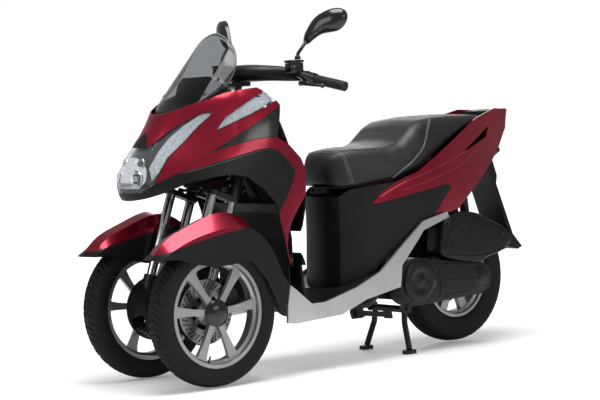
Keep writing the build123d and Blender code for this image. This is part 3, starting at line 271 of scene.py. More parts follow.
def make_piece(name, points, faces, material, body, stands_for=(), smooth=True):
    """Links a mesh whose points are already in place, and lets it ride on a body."""
    mesh = mesh_of(name, points, faces)
    mesh.materials.append(material)
    if smooth:
        mesh.polygons.foreach_set("use_smooth", [True] * len(mesh.polygons))
    mesh.update()
    piece = placed(name, mesh)
    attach(piece, body)
    if stands_for:
        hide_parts(*stands_for)
    return piece


def outward(piece, merge_mm=0.01):
    """Merges doubles and turns every face outwards."""
    shape = bmesh.new()
    shape.from_mesh(piece.data)
    bmesh.ops.remove_doubles(shape, verts=shape.verts, dist=merge_mm / 1000)
    bmesh.ops.recalc_face_normals(shape, faces=shape.faces)
    shape.to_mesh(piece.data)
    shape.free()
    piece.data.update()


def ring_faces(rows, columns, closed_rows=True, closed_columns=True):
    """Quads of a grid of rows times columns, joined round on either side."""
    quads = []
    for i in range(rows if closed_rows else rows - 1):
        for j in range(columns if closed_columns else columns - 1):
            a, b = i * columns + j, i * columns + (j + 1) % columns
            c, d = ((i + 1) % rows) * columns + (j + 1) % columns, ((i + 1) % rows) * columns + j
            quads.append((a, b, c, d))
    return quads


def capped(rings, sides):
    """Quads along a tube of rings, and a face over each end."""
    last = (rings - 1) * sides
    ends = [tuple(range(sides)), tuple(range(last, last + sides))[::-1]]
    return ring_faces(rings, sides, closed_rows=False) + ends


def circle(count):
    """Cosine and sine at equal steps round a full turn."""
    return [(math.cos(k * math.tau / count), math.sin(k * math.tau / count)) for k in range(count)]


def turned(at, facing, profile, sides=36):
    """Points and faces turned about an axis: profile of (height along it, radius) in millimetres."""
    axis = Vector(facing).normalized()
    aside = axis.orthogonal().normalized()
    other = axis.cross(aside)
    points = [
        Vector(at) + (axis * h + (aside * c + other * s) * r) / 1000 for h, r in profile
        for c, s in circle(sides)]
    return points, capped(len(profile), sides)


def joined(name, parts, material, body, stands_for=(), mirrored=False, smooth=True):
    """Makes one piece of several sets of points and faces, with their mirror images if asked."""
    points, faces = [], []
    for some_points, some_faces in parts:
        for side in ((1, -1) if mirrored else (1,)):
            first = len(points)
            points += [(side * x, y, z) for x, y, z in some_points]
            faces += [tuple(first + i for i in f) for f in some_faces]
    outward(make_piece(name, points, faces, material, body, stands_for, smooth), 0.001)
    print(name, "faces:", len(faces))


def cut_corners(line, times, share=0.25, closed=False):
    """Cuts the corners of a line. An open one keeps its ends."""
    line = [Vector(p) for p in line]
    for _ in range(times):
        pairs = zip(line, line[1:] + line[:1] if closed else line[1:])
        cut = [a.lerp(b, s) for a, b in pairs for s in (share, 1 - share)]
        line = cut if closed else [line[0], *cut, line[-1]]
    return line


def eased(values, times):
    """Smooths a row of values between its fixed ends."""
    for _ in range(times):
        values[1:-1] = (values[:-2] + 2 * values[1:-1] + values[2:]) / 4
    return values


axle_ahead = 702.5  # the front axle lies this far before the middle, in millimetres


def station(a):
    """Millimetres behind the front axle, turned into Y in metres."""
    return (a - axle_ahead) / 1000


def metres(x, a, z):
    """A place in millimetres, X, station and height, turned into metres in the model's frame."""
    return (x / 1000, station(a), z / 1000)


def shown_box(node):
    """The two corners of a node's box, rounded for printing."""
    return [tuple(round(v, 3) for v in corner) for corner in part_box(node)]


left_right = ((1, "left"), (-1, "right"))

# %% Tyres with grooves
profile_steps, turn_steps = 61, 540
tread_height = 0.022  # the grooves end this far below the crown
groove_depth = 0.0045
groove_lean = 0.55  # pitches a groove runs round the tyre from its middle to its edge
carcass_thick = 0.005
# Per groove: shift and half width in pitches, then the shares of the tyre's half
# width where it starts and ends.
grooves = ((0.0, 0.075, 0.2, 0.86), (0.5, 0.06, 0.06, 0.55))


def tyre(name, node, centre, outer_r, width, bead_r, pitches, lean, body):
    """A tyre round X, its grooves leaning forwards (1) or backwards (-1) towards the edges."""
    half = width / 2
    knots = [
        (-half * 0.62, bead_r + 0.001), (-half * 0.86, bead_r + 0.012),
        (-half, bead_r + 0.5 * (outer_r - bead_r)), (-0.94 * half, outer_r - 0.018),
        (-0.80 * half, outer_r - 0.0095), (-0.5 * half, outer_r - 0.0032), (0, outer_r)]
    knots = knots + [(-x, r) for x, r in knots[-2::-1]]
    xs, rs = np.array(knots).T
    along = np.concatenate([[0], np.cumsum(np.hypot(np.diff(xs), np.diff(rs)))])
    fine = np.linspace(0, along[-1], profile_steps)
    px, pr = eased(np.interp(fine, along, xs), 3), eased(np.interp(fine, along, rs), 3)
    angle = np.arange(turn_steps)[:, None] * math.tau / turn_steps
    share = np.abs(px / half)[None, :]
    sweep = angle * pitches / math.tau + groove_lean * share ** 1.3 * lean
    grooved = np.zeros(sweep.shape, bool)
    for shift, half_gap, start, end in grooves:
        grooved |= (np.abs((sweep + shift) % 1 - 0.5) < half_gap) & (share > start) & (share < end)
    r = pr[None, :] - np.where(grooved & (pr > outer_r - tread_height)[None, :], groove_depth, 0.0)
    x, y, z = centre
    points = np.stack([np.broadcast_to(x + px, r.shape), y + r * np.cos(angle), z + r * np.sin(angle)], axis=-1)
    faces = ring_faces(turn_steps, profile_steps, closed_columns=False)
    piece = make_piece(name, points.reshape(-1, 3), faces, tyre_rubber, body, (node,))
    carcass = piece.modifiers.new("carcass", "SOLIDIFY")
    carcass.thickness, carcass.offset = carcass_thick, -1
    outward(piece)


front_left, front_right, rear_axle = (0.1925, -0.7025, 0.25), (-0.1925, -0.7025, 0.25), (0.0, 0.6075, 0.2575)
tyre("road_tyre_left", "front_tyre_left", front_left, 0.250, 0.090, 0.178, 34, -1, "wheel_front_left")
tyre("road_tyre_right", "front_tyre_right", front_right, 0.250, 0.090, 0.178, 34, -1, "wheel_front_right")
tyre("road_tyre_rear", "rear_tyre", rear_axle, 0.2515, 0.110, 0.153, 32, 1, "wheel_rear")
print("tyre boxes:", shown_box("rear_tyre"), shown_box("front_tyre_left"))

# %% [markdown]
# ## Seat
# The seat is moulded foam under embossed vinyl: a low rider's part, a step, and a
# higher part behind. Its cross sections follow a short table along the length and
# are joined by smooth curves; the top edge is rolled and the sides fall inwards.

# %% Seat cushion
# Station, half width low, edge height, half width at the shoulder, top height, crown.
seat_table = np.array(
    [
        (640, 62, 660, 46, 722, 6), (654, 84, 645, 66, 752, 8), (690, 112, 640, 90, 774, 9),
        (760, 142, 644, 112, 782, 9), (850, 166, 656, 128, 783, 8), (920, 177, 673, 134, 796, 7),
        (965, 181, 687, 135, 826, 6), (1005, 182, 704, 135, 857, 6), (1050, 178, 730, 133, 877, 7),
        (1130, 167, 776, 131, 886, 8), (1230, 153, 824, 124, 889, 8), (1340, 126, 858, 106, 888, 7),
        (1430, 92, 864, 76, 882, 5), (1478, 62, 866, 48, 874, 2)],
    float)
shoulder = 0.62  # share of the half section, from the middle, where the edge starts to roll
shoulder_in = 0.93  # share of the shoulder's half width that is reached there
seat_rows, section_points = 150, 49


def smooth_rows(table, stations):
    """Monotone cubic through each column."""
    x = table[:, 0]
    out = [stations]
    for column in table.T[1:]:
        step = np.diff(x)
        slope = np.diff(column) / step
        tangent = np.zeros(len(x))
        same = slope[:-1] * slope[1:] > 0
        tangent[1:-1][same] = 2 * slope[:-1][same] * slope[1:][same] / (slope[:-1] + slope[1:])[same]
        tangent[0], tangent[-1] = slope[0], slope[-1]
        k = np.clip(np.searchsorted(x, stations) - 1, 0, len(x) - 2)
        t = (stations - x[k]) / step[k]
        out.append(
            (2 * t**3 - 3 * t**2 + 1) * column[k] + (t**3 - 2 * t**2 + t) * step[k] * tangent[k]
            + (-2 * t**3 + 3 * t**2) * column[k + 1] + (t**3 - t**2) * step[k] * tangent[k + 1])
    return np.stack(out, 1)


def seat_section(row, count=section_points):
    """Half width and height pairs from the left lower edge over the top to the right one."""
    _, low_half, edge, top_half, top, crown = row
    t = np.linspace(-1, 1, count)
    side = np.abs(t)
    inner = top_half * shoulder_in
    roll = np.clip((side - shoulder) / (1 - shoulder), 0, 1)
    rolled = inner + (low_half - inner) * (1 - (1 - roll) ** 2.2) ** 0.9
    half = np.where(side < shoulder, side / shoulder * inner, rolled)
    height = top - crown * np.minimum(side / shoulder, 1) ** 2 - (top - edge - crown) * roll ** 1.55
    return np.stack([-np.sign(t) * half, height], 1)


rows = smooth_rows(seat_table, np.linspace(seat_table[0, 0], seat_table[-1, 0], seat_rows))
cushion_points = [metres(half, row[0], height) for row in rows for half, height in seat_section(row)]
cushion = make_piece(
    "seat_cushion", cushion_points, capped(seat_rows, section_points), seat_vinyl, "seat", ("seat",))
outward(cushion)
print("cushion:", shown_box("seat"))

# %% [markdown]
# Two rows of grey thread run along the seams: round the front edge, and over the
# step and down both its sides. Each stitch is a short six-sided rod; a node tree
# walks along the seam's curve and drops one every few millimetres.

# %% Stitches by Geometry Nodes
def repeat_tree(name, sizes_mm, material, sides):
    """A node tree of short rods: along a curve if there is a gap, else on points, across X."""
    tree = bpy.data.node_groups.new(name, "GeometryNodeTree")
    tree.interface.new_socket("Geometry", in_out="INPUT", socket_type="NodeSocketGeometry")
    for socket, size in sizes_mm.items():
        number = tree.interface.new_socket(socket, in_out="INPUT", socket_type="NodeSocketFloat")
        number.default_value = size / 1000
    tree.interface.new_socket("Geometry", in_out="OUTPUT", socket_type="NodeSocketGeometry")
    start = add_node(tree, "NodeGroupInput").outputs
    if "Gap" in sizes_mm:
        spots = add_node(
            tree, "GeometryNodeCurveToPoints", {"Curve": start["Geometry"], "Length": start["Gap"]},
            mode="LENGTH")
        rotation = spots.outputs["Rotation"]
    else:
        spots = add_node(tree, "GeometryNodeMeshToPoints", {"Mesh": start["Geometry"]})
        rotation = (0, math.pi / 2, 0)
    rod = add_node(
        tree, "GeometryNodeMeshCylinder",
        {"Radius": start["Radius"], "Depth": start["Length"], "Vertices": sides})
    put = add_node(
        tree, "GeometryNodeInstanceOnPoints",
        {"Points": spots.outputs["Points"], "Instance": rod.outputs["Mesh"], "Rotation": rotation})
    real = add_node(tree, "GeometryNodeRealizeInstances", {"Geometry": put.outputs["Instances"]})
    finished = add_node(
        tree, "GeometryNodeSetMaterial", {"Geometry": real.outputs["Geometry"], "Material": material})
    add_node(tree, "NodeGroupOutput", {"Geometry": finished.outputs["Geometry"]})
    return tree


def repeated(name, data, tree, body):
    """Runs a node tree on a curve or on points and keeps the result as one plain mesh."""
    guide = placed(data.name, data)
    guide.modifiers.new("repeat", "NODES").node_group = tree
    mesh = evaluated(guide)
    bpy.data.objects.remove(guide)
    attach(placed(name, mesh), body)
    print(name, "faces:", len(mesh.polygons))


thread_lift, thread_aside = 0.4, 0.3  # how far the thread's middle lies off the vinyl
front_seam, front_sweep, step_top = 668, 40, 1094


def seat_row(a):
    """The cushion's table row at one station."""
    return smooth_rows(seat_table, np.array([float(a)]))[0]


def on_seat(a, share):
    """A point of the cushion's top: station, and share from the right edge (-1) to the left (1)."""
    points = seat_section(seat_row(a), 201)
    half, height = points[int(round((1 - share) / 2 * 200))]
    return metres(half, a, height + thread_lift)


def on_seat_side(a, height, side):
    """The point of the cushion's side at a station and height, side 1 for left."""
    points = [p for p in seat_section(seat_row(a), 401) if p[0] * side > 0]
    half, height = min(points, key=lambda p: abs(p[1] - height))
    return metres(half + side * thread_aside, a, height + thread_lift / 2)


step_seam = [
    (1094, 873), (1090, 871), (1076, 858), (1056, 838), (1042, 812), (1024, 779), (1000, 750), (952, 714),
    (898, 683), (868, 664)]
quarters = np.linspace(0, len(step_seam) - 1, 4 * len(step_seam) - 3)
step_line = eased(
    np.stack([np.interp(quarters, range(len(step_seam)), column) for column in zip(*step_seam)], 1), 4)
seams = []
for offset in (0, 6):  # the second row of thread lies 6 mm behind the first
    front = front_seam + offset * 1.3
    seams.append([on_seat(front + front_sweep * abs(s) ** 2.4, s) for s in np.linspace(-0.98, 0.98, 50)])
    side_runs = {side: [on_seat_side(a + offset, z, side) for a, z in step_line[3:]] for side in (1, -1)}
    crown = [on_seat(step_top + offset - 6 * abs(s), s) for s in np.linspace(-0.3, 0.3, 12)]
    seams.append(side_runs[-1][::-1] + crown + side_runs[1])
seam_curve = bpy.data.curves.new("seat_stitches_path", "CURVE")
seam_curve.dimensions = "3D"
for path in seams:
    spline = seam_curve.splines.new("POLY")
    spline.points.add(len(path) - 1)
    for point, place in zip(spline.points, path):
        point.co = (*place, 1)
stitch_nodes = repeat_tree("stitches", {"Gap": 5.5, "Length": 3.6, "Radius": 0.75}, stitch_thread, 6)
repeated("seat_stitches", seam_curve, stitch_nodes, "seat")

# %% [markdown]
# ## Lamps
# Under the clear lens of a lamp sit a black bezel, a vapour-coated reflector and a
# white light guide. Each is a copy of the lens that is drawn in towards the middle
# of the nose, so it follows the lens at an even depth. Two are cut to an outline.

# %% Liners under a lens
def side_prism(outline, half=400):
    """A closed bar whose side view is the outline."""
    points = [metres(x, a, z) for x in (-half, half) for a, z in outline]
    prism = placed("prism", mesh_of("prism", points, capped(2, len(outline))))
    outward(prism)
    return prism


nose_middle = station(120)


def liner(name, node, shrink_x, shrink_y, material, outline=None):
    """A copy of a lens drawn in towards the nose's middle, cut to a side outline if one is given."""
    mesh = nodes[node].data.copy()
    for point in mesh.vertices:
        point.co.x *= shrink_x
        point.co.y = nose_middle + (point.co.y - nose_middle) * shrink_y
    paint(mesh, material)
    piece = placed(name, mesh)
    outward(piece, 0.02)
    if outline:
        prism = side_prism(outline)
        cut = piece.modifiers.new("cut", "BOOLEAN")
        cut.object, cut.operation, cut.solver = prism, "INTERSECT", "EXACT"
        result = evaluated(piece)
        piece.modifiers.clear()
        piece.data = result
        paint(result, material)
        bpy.data.objects.remove(prism)
    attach(piece, "body")
    print(name, "faces:", len(piece.data.polygons))


liner("lamp_bezel", "headlamp", 0.925, 0.94, smooth_black)
guide_outline = [
    (-150, 700), (-125, 730), (-95, 770), (-30, 825), (20, 874), (72, 918), (40, 921), (-18, 880), (-66, 840),
    (-112, 792), (-150, 742)]
# The white guide carries a slight painted glow.
liner("lamp_guide", "headlamp", 0.95, 0.962, guide_white_painted_glow, guide_outline)
reflector_outline = [(-260, 676), (-184, 676), (-168, 700), (-160, 735), (-158, 770), (-176, 792), (-260, 786)]
liner("lamp_reflector", "headlamp", 0.955, 0.967, reflector_silver, reflector_outline)
# The signal's reflector takes the white guide finish, with its painted glow.
liner("signal_reflector", "turn_signals", 0.955, 0.97, guide_white_painted_glow)

# %% [markdown]
# ## Brake discs
# The swept ring is drilled to shed water and dust. The drillings are dark discs laid
# on both faces, on three rings, placed by a node tree that repeats one pattern round
# the axle.

# %% Drillings
drill_dark = finish_of("shadow_in_drilling", "#0b0b0c", 0.9)
drill_insets = (0.010, 0.0185, 0.027)  # the three rings, in from the disc's rim
drill_count, drill_stagger = 36, 0.05  # holes in a ring; radians from one ring to the next
drill_proud = 0.0001
drill_nodes = repeat_tree("drillings", {"Radius": 3.5, "Length": 1.0}, drill_dark, 10)
for side, node, body, axle, rim_r in (
    ("left", "front_disc_left", "wheel_front_left", front_left, 0.110),
    ("right", "front_disc_right", "wheel_front_right", front_right, 0.110),
    ("rear", "rear_disc", "wheel_rear", rear_axle, 0.115)
):
    low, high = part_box(node)
    spots = []
    for k in range(drill_count):
        for ring, inset in enumerate(drill_insets):
            t = k * math.tau / drill_count + ring * drill_stagger
            y, z = axle[1] + (rim_r - inset) * math.cos(t), axle[2] + (rim_r - inset) * math.sin(t)
            spots += [(x, y, z) for x in (low.x - drill_proud, high.x + drill_proud)]
    name = "disc_drillings_" + side
    repeated(name, mesh_of(name + "_points", spots), drill_nodes, body)

# %% [markdown]
# ## Screws
# Panels are held by dome-headed socket screws. One head is turned from a short
# profile and dropped where the screws are, facing out of its panel.

# %% Screw heads
dome_profile = [(0.18, 0.42), (0.52, 0.46), (0.42, 0.7), (0.2, 0.92), (-0.1, 1.0), (-0.3, 1.0)]


def dome_screw(name, at, facing, radius_mm):
    """One dome head with a hollow for the key, open underneath."""
    points, faces = turned(at, facing, [(h * radius_mm, r * radius_mm) for h, r in dome_profile], 14)
    outward(make_piece(name, points, faces[:-1], zinc_screw, "body"))


# %% [markdown]
# ## Seams and raised lines
# Where two mouldings meet there is a dark joint, and the edge of the arch carries a
# raised bead. Each line is drawn in side view, dropped onto the panel by a ray from
# the side, smoothed, and given a round section.

# %% Helpers for lines on panels
drop_step_mm = 8  # distance between the rays that drop a line on a panel
ray_start_x = 600  # the rays start this far to the side
nearest_x = 0.005  # metres: hits closer to the middle plane than this are left out


def tree_of(*names):
    """One search tree over several pieces, the model's own or new ones."""
    points, faces = [], []
    for name in names:
        mesh = (nodes.get(name) or bpy.data.objects[name]).data
        first = len(points)
        points += [v.co.copy() for v in mesh.vertices]
        faces += [[first + i for i in p.vertices] for p in mesh.polygons]
    return BVHTree.FromPolygons(points, faces)


def frames_along(line):
    """Each point of a line with two directions across it that turn as little as possible."""
    for i, p in enumerate(line):
        along = (line[min(i + 1, len(line) - 1)] - line[max(i - 1, 0)]).normalized()
        aside = (aside - along * aside.dot(along) if i else along.orthogonal()).normalized()
        yield p, aside, along.cross(aside)


def on_side(tree, outline, side, lift_mm=0.0):
    """A line of the side view dropped onto the model from the left (1) or right (-1)."""
    flat = cut_corners([(0, a, z) for a, z in outline], 2)
    dropped = []
    for p, q in zip(flat, flat[1:]):
        count = max(1, int((q - p).length / drop_step_mm))
        for k in range(count):
            point = p.lerp(q, k / count)
            start = metres(side * ray_start_x, point.y, point.z)
            hit, normal, _, _ = tree.ray_cast(start, (-side, 0, 0))
            if hit and side * hit.x > nearest_x:
                dropped.append(hit + normal * lift_mm / 1000)
    return dropped


def bead(name, lines, radius_mm, material, sides=8):
    """A round bead along each line, as one mesh on the body."""
    parts = []
    for line in lines:
        if len(line) > 1:
            points = [
                p + (aside * c + other * s) * radius_mm / 1000 for p, aside, other in frames_along(line)
                for c, s in circle(sides)]
            parts.append((points, capped(len(line), sides)))
    joined(name, parts, material, "body")


# %% Seams on the front and rear body
joint_dark = finish_of("shadow_in_panel_joint", "#050505", 0.9)
front_tree = tree_of("cowl", "leg_shield_bands", "cowl_trim", "vent_panels", "headlamp", "turn_signals")
rear_tree = tree_of("body_panels", "tail_panels", "sills")
front_seams = [
    [
        (-150, 690), (-125, 736), (-95, 776), (-30, 831), (20, 880), (72, 922), (35, 921), (-15, 896),
        (-70, 861), (-120, 823)],
    [(-95, 716), (35, 789), (320, 941)], [(64, 859), (106, 907), (206, 964), (268, 990), (308, 957), (64, 859)],
    [(35, 789), (152, 819), (243, 833), (284, 830)],
    [
        (-95, 716), (-43, 730), (33, 750), (108, 768), (195, 789), (241, 794), (276, 787), (332, 745),
        (359, 712), (350, 681), (316, 623), (279, 574)]]
rear_seams = [
    [(764, 568), (743, 536), (719, 501), (695, 444), (680, 394), (672, 355), (664, 290)],
    [(768, 568), (804, 613), (862, 647), (970, 682)],
    [(768, 568), (919, 596), (1111, 627), (1147, 618)],
    [(664, 300), (701, 336), (793, 389), (887, 474), (960, 512)],
]
arch_line = [(-62, 722), (33, 744), (108, 762), (195, 783), (241, 788), (272, 781), (326, 741), (352, 711)]
for side, word in left_right:
    bead("front_joints_" + word, [on_side(front_tree, s, side, -0.2) for s in front_seams], 1.3, joint_dark, 6)
    bead("rear_joints_" + word, [on_side(rear_tree, s, side, -0.2) for s in rear_seams], 1.4, joint_dark, 6)
    bead("arch_edge_" + word, [on_side(front_tree, arch_line, side, 0.6)], 1.8, zinc_screw)

# %% [markdown]
# ## Covers of the engine side
# The air box and the transmission case are moulded and cast covers with rolled
# edges. Each is an outline with rounded corners, given its depth and a bevelled rim;
# ribs, round domes and screws come on top.

# %% Moulded covers
def moulded(name, outline, x_in, x_out, edge_mm, material, stands_for=(), corner=2, crown_mm=0.0):
    """A closed block from a side view, corners cut round and rim bevelled, in millimetres."""
    ring = cut_corners([(0, a, z) for a, z in outline], corner, 0.2, closed=True)
    middle = sum(ring, Vector()) / len(ring)
    out = 1 if x_out > x_in else -1
    reach = min((p - middle).length for p in ring)
    levels = [(x_in, 1.0), (x_out - out * edge_mm, 1.0)]  # X and share of the outline
    for k in range(1, 5):
        t = k / 4 * math.pi / 2
        back = edge_mm * (1 - math.sin(t))
        levels.append((x_out - out * back, 1 - edge_mm / reach * 0.7 * (1 - math.cos(t))))
    levels.append((x_out + out * crown_mm * 0.6, levels[-1][1] * 0.6))
    levels.append((x_out + out * crown_mm, 0.12))
    places = [(x, middle + (p - middle) * share) for x, share in levels for p in ring]
    points = [metres(x, q.y, q.z) for x, q in places]
    joined(name, [(points, capped(len(levels), len(ring)))], material, "body", stands_for)


air_box_face, case_face = 186, 168.5  # X of the two covers' outer faces
air_box_outline = [
    (1090, 352), (1094, 420), (1106, 474), (1145, 512), (1220, 519), (1295, 510), (1430, 452), (1490, 394),
    (1425, 352), (1342, 336), (1300, 312)]
case_outline = [
    (905, 262), (915, 318), (960, 356), (1040, 352), (1160, 338), (1300, 318), (1358, 290), (1368, 250),
    (1345, 215), (1300, 200), (1150, 190), (1040, 182), (960, 182), (920, 208)]
moulded("air_box_cover", air_box_outline, 105, air_box_face, 16, grained_black, ("airbox",), crown_mm=3)
moulded(
    "air_box_foot", [(1186, 500), (1240, 500), (1240, 562), (1186, 530)], 66.2, 130, 1.5, grained_black,
    corner=1)
moulded("transmission_cover", case_outline, 99, case_face, 7, painted_casting, crown_mm=1)
clutch_profile = [(0, 78), (6, 77), (11, 70), (13, 60), (13, 40), (10, 37), (10, 20), (14, 17), (15, 6)]
kick_profile = [(0, 27), (6, 26), (9, 22), (9, 14), (6, 12), (6, 3)]
gear_profile = [(0, 46), (4, 44), (7, 36), (7, 22), (9, 20), (10, 4)]
for name, x, a, z, profile, material in (
    ("clutch_dome", 166, 985, 272, clutch_profile, painted_casting),
    ("kick_cap", 167, 1044, 262, kick_profile, smooth_black),
    ("gear_dome", 166, 1300, 257.5, gear_profile, painted_casting)
):
    joined(name, [turned(metres(x, a, z), (1, 0, 0), profile, 40)], material, "body")

side_tree = tree_of("airbox", "cvt_case")
box_ribs = [
    [(1108, 380), (1141, 432), (1200, 470), (1284, 490), (1370, 470), (1440, 432)],
    [(1266, 500), (1266, 430), (1279, 352)], [(1120, 360), (1300, 338), (1440, 366)]]
case_ribs = [
    [(1085, 335), (1098, 262), (1088, 196)], [(1120, 325), (1240, 312)], [(1120, 262), (1245, 260)],
    [(1120, 206), (1240, 212)]]
for name, ribs, x, radius_mm, material in (
    ("air_box_ribs", box_ribs, air_box_face + 0.8, 3.0, grained_black),
    ("case_ribs", case_ribs, case_face + 0.7, 2.6, painted_casting)
):
    lines = [[Vector((x / 1000, p.y, p.z)) for p in on_side(side_tree, rib, 1)] for rib in ribs]
    bead(name, lines, radius_mm, material)
box_screws = ((1126, 478), (1156, 398), (1250, 426), (1300, 496), (1420, 420), (1330, 356))
case_screws = (
    (925, 240), (925, 300), (975, 345), (1060, 340), (1150, 326), (1250, 314), (1335, 292), (1340, 226),
    (1240, 204), (1130, 198), (1030, 192), (950, 200))
for name, places, x in (
    ("air_box_screw", box_screws, air_box_face + 2.5), ("case_screw", case_screws, case_face + 0.3)
):
    for k, (a, z) in enumerate(places):
        dome_screw(f"{name}_{k}", metres(x, a, z), (1, 0, 0), 5.5)

# %% [markdown]
# ## Tail liner and foot mat
# Behind the hand slots of the tail there is a dark inner moulding. The floor
# carries a rubber mat with cross ribs.

# %% Tail liner and mat
tail_liner = [(1300, 700), (1460, 730), (1530, 790), (1548, 850), (1480, 858), (1380, 820), (1290, 770)]
for side, word in left_right:
    moulded("tail_liner_" + word, tail_liner, side * 20, side * 74, 6, grained_black)
rib_count, rib_pitch, rib_half, rib_height, mat_half, mat_start = 21, 9.5, 2.4, 2.2, 172, 436
ramp_stations, ramp_heights, mat_lift = (489, 643), (232, 270), 0.3  # flat at first, then it rises
rib_section = ((-mat_half, 0), (-mat_half, rib_height), (mat_half, rib_height), (mat_half, 0))
mat_ribs = []
for k in range(rib_count):
    a = mat_start + k * rib_pitch
    floor_z = float(np.interp(a, ramp_stations, ramp_heights)) + mat_lift
    points = [
        metres(x, a + shift, floor_z + lift) for shift in (-rib_half, rib_half) for x, lift in rib_section]
    mat_ribs.append((points, capped(2, len(rib_section))))
joined("foot_mat_ribs", mat_ribs, soft_rubber, "body", smooth=False)

# %% [markdown]
# ## Handlebar, mirrors and screen
# These are free forms, so they are lofted: rounded sections along a line, with the
# ends drawn in. The left-hand ones are mirrored to the right.

# %% Lofted pieces
def drawn_in(row, inner, round_mm, order):
    """Copies of a loft's end row that shrink step by step, for a rounded end."""
    ahead = np.array(Vector(row[:3] - inner[:3]).normalized())
    made = []
    for k in order:
        t = k / 4 * math.pi / 2
        new = row.copy()
        new[:3] += ahead * round_mm * (math.sin(t) - 1)
        new[9:11] -= round_mm * (1 - math.cos(t))
        made.append(new)
    return made


def shaped(rows, round_mm=6.0, sides=28, between=5):
    """A loft through rows of (centre, aside, up, half across, half up, squareness), in millimetres."""
    table = np.array(
        [[*c, *Vector(a).normalized(), *Vector(u).normalized(), ha, hu, p] for c, a, u, ha, hu, p in rows],
        dtype=float)
    grown = []
    for i in range(len(table) - 1):
        p0, p1, p2, p3 = table[max(i - 1, 0)], table[i], table[i + 1], table[min(i + 2, len(table) - 1)]
        for k in range(between):
            t = k / between
            bend, twist = 2 * p0 - 5 * p1 + 4 * p2 - p3, 3 * p1 - p0 - 3 * p2 + p3
            grown.append(0.5 * (2 * p1 + (p2 - p0) * t + bend * t * t + twist * t ** 3))
    grown.append(table[-1])
    start = drawn_in(grown[0], grown[1], round_mm, (4, 3, 2, 1))
    grown = start + grown[1:-1] + drawn_in(grown[-1], grown[-2], round_mm, (1, 2, 3, 4))
    points = []
    for row in grown:
        centre, aside, up = Vector(row[:3]), Vector(row[3:6]), Vector(row[6:9])
        for c, s in circle(sides):
            u = row[9] * math.copysign(abs(c) ** (2 / row[11]), c)
            v = row[10] * math.copysign(abs(s) ** (2 / row[11]), s)
            q = centre + aside * u + up * v
            points.append(metres(*q))
    return points, capped(len(grown), sides)


def tube(line, radii, sides=14):
    """Points and faces of a round tube through points in millimetres, one radius for each."""
    frames = frames_along([Vector(p) for p in line])
    rows = [(p, aside, other, r, r, 2) for (p, aside, other), r in zip(frames, radii)]
    return shaped(rows, min(2.0, min(radii) * 0.5), sides, 3)


across, ahead, upright = (1, 0, 0), (0, 1, 0), (0, 0, 1)


def sections(aside, up, squareness, places):
    """Loft rows that share their directions, at places of (x, station, height, half across, half up)."""
    return [((x, a, z), aside, up, wide, high, squareness) for x, a, z, wide, high in places]


# %% Bar cover and controls
half_cover = [
    (-171, 437, 1043, 25, 21), (-150, 407, 1048, 33, 25), (-112, 362, 1053, 43, 27), (-60, 330, 1056, 47, 30),
    (0, 318, 1057, 48, 31)]
whole_cover = half_cover + [(-x, *rest) for x, *rest in half_cover[-2::-1]]
cover_rows = sections(ahead, (0, 0.12, 1), 2.6, whole_cover)
joined("bar_cover", [shaped(cover_rows, 5, 36)], grained_black, "handlebar", ("handlebar_cover",))
grip_start, grip_end = Vector((180, 447, 1037.5)), Vector((360, 479, 996))
grip_along = (grip_end - grip_start).normalized()
grip_up = Vector((0, 0, 1)) - grip_along * grip_along.z
grip_side = grip_along.cross(grip_up)


def on_grip(distance, up=0.0, aside=0.0):
    """A point beside the grip's axis: along it from the bend, up and forwards."""
    return grip_start + grip_along * distance + grip_up.normalized() * up + grip_side.normalized() * aside


tank = (207, 385)  # X and station of the fluid tank on the bar
controls = [
    shaped(
        [
            (on_grip(d), grip_side, grip_up, w, h, 2.6)
            for d, w, h in ((12, 19, 19), (22, 24, 23), (42, 24, 23), (56, 21, 20))],
        4),
    tube([on_grip(d) for d in (57, 61)], (20, 20), 24),
    shaped(sections(across, ahead, 5, [(*tank, z, 24, 28) for z in (1050, 1084)]), 3, 32, 1),
    shaped(sections(across, ahead, 5, [(*tank, z, 26, 30) for z in (1085, 1094)]), 3, 32, 1),
    shaped(
        sections(
            across, upright, 3, [(214, 396, 1046, 13, 12), (219, 418, 1040, 15, 17), (226, 440, 1030, 17, 20)]),
        3),
    shaped(sections(across, upright, 3, [(217, 420, 1016, 14, 9), (221, 400, 1012, 15, 9)]), 3),
    shaped(
        sections(
            ahead, upright, 3,
            [
                (214, 404, 1014, 8, 7), (250, 395, 1009, 7.5, 6), (300, 386, 1004, 6.5, 5),
                (345, 386, 999.5, 5.5, 4.5)]),
        2, 16),
    tube([(352 + d, 386, 999) for d in (-7.5, -5, 0, 5, 7.5)], (3, 6.2, 8, 6.2, 3), 18),
    shaped(
        [
            (on_grip(34, 20, 14), grip_along, grip_side, 7, 5, 3),
            (on_grip(34, 27, 18), grip_along, grip_side, 6, 4, 3)],
        2, 16)]
joined("bar_controls", controls, smooth_black, "handlebar", ("controls",), mirrored=True)
buttons = []
for d, h in ((26, 8), (38, 8), (32, -6)):
    base, top = on_grip(d, 4 + h, -22), on_grip(d, 4 + h, -26.5)
    buttons.append(shaped(
        [(base, grip_along, grip_up, 5, 4, 4), (top, grip_along, grip_up, 4.6, 3.6, 4)], 1, 16, 1))
joined("switch_buttons", buttons, soft_rubber, "handlebar", mirrored=True)

# %% Mirrors
mirror_middle = Vector((272, 470, 1218))
mirror_back = Vector((-0.46, 0.88, 0)).normalized()
mirror_out = Vector((0.86, 0.46, 0.22))
mirror_out = (mirror_out - mirror_back * mirror_out.dot(mirror_back)).normalized()
mirror_down = mirror_back.cross(mirror_out)
mirror_rim = [
    (-90, 46), (-80, 22), (-62, 2), (-38, -20), (-8, -36), (30, -42), (66, -39), (90, -24), (95, -4), (87, 16),
    (70, 32), (45, 41), (15, 38), (-15, 34), (-45, 42), (-68, 54), (-84, 56)]
rim_middle = (18, 2)  # the point of the rim's outline towards which it shrinks
rim_steps = 56


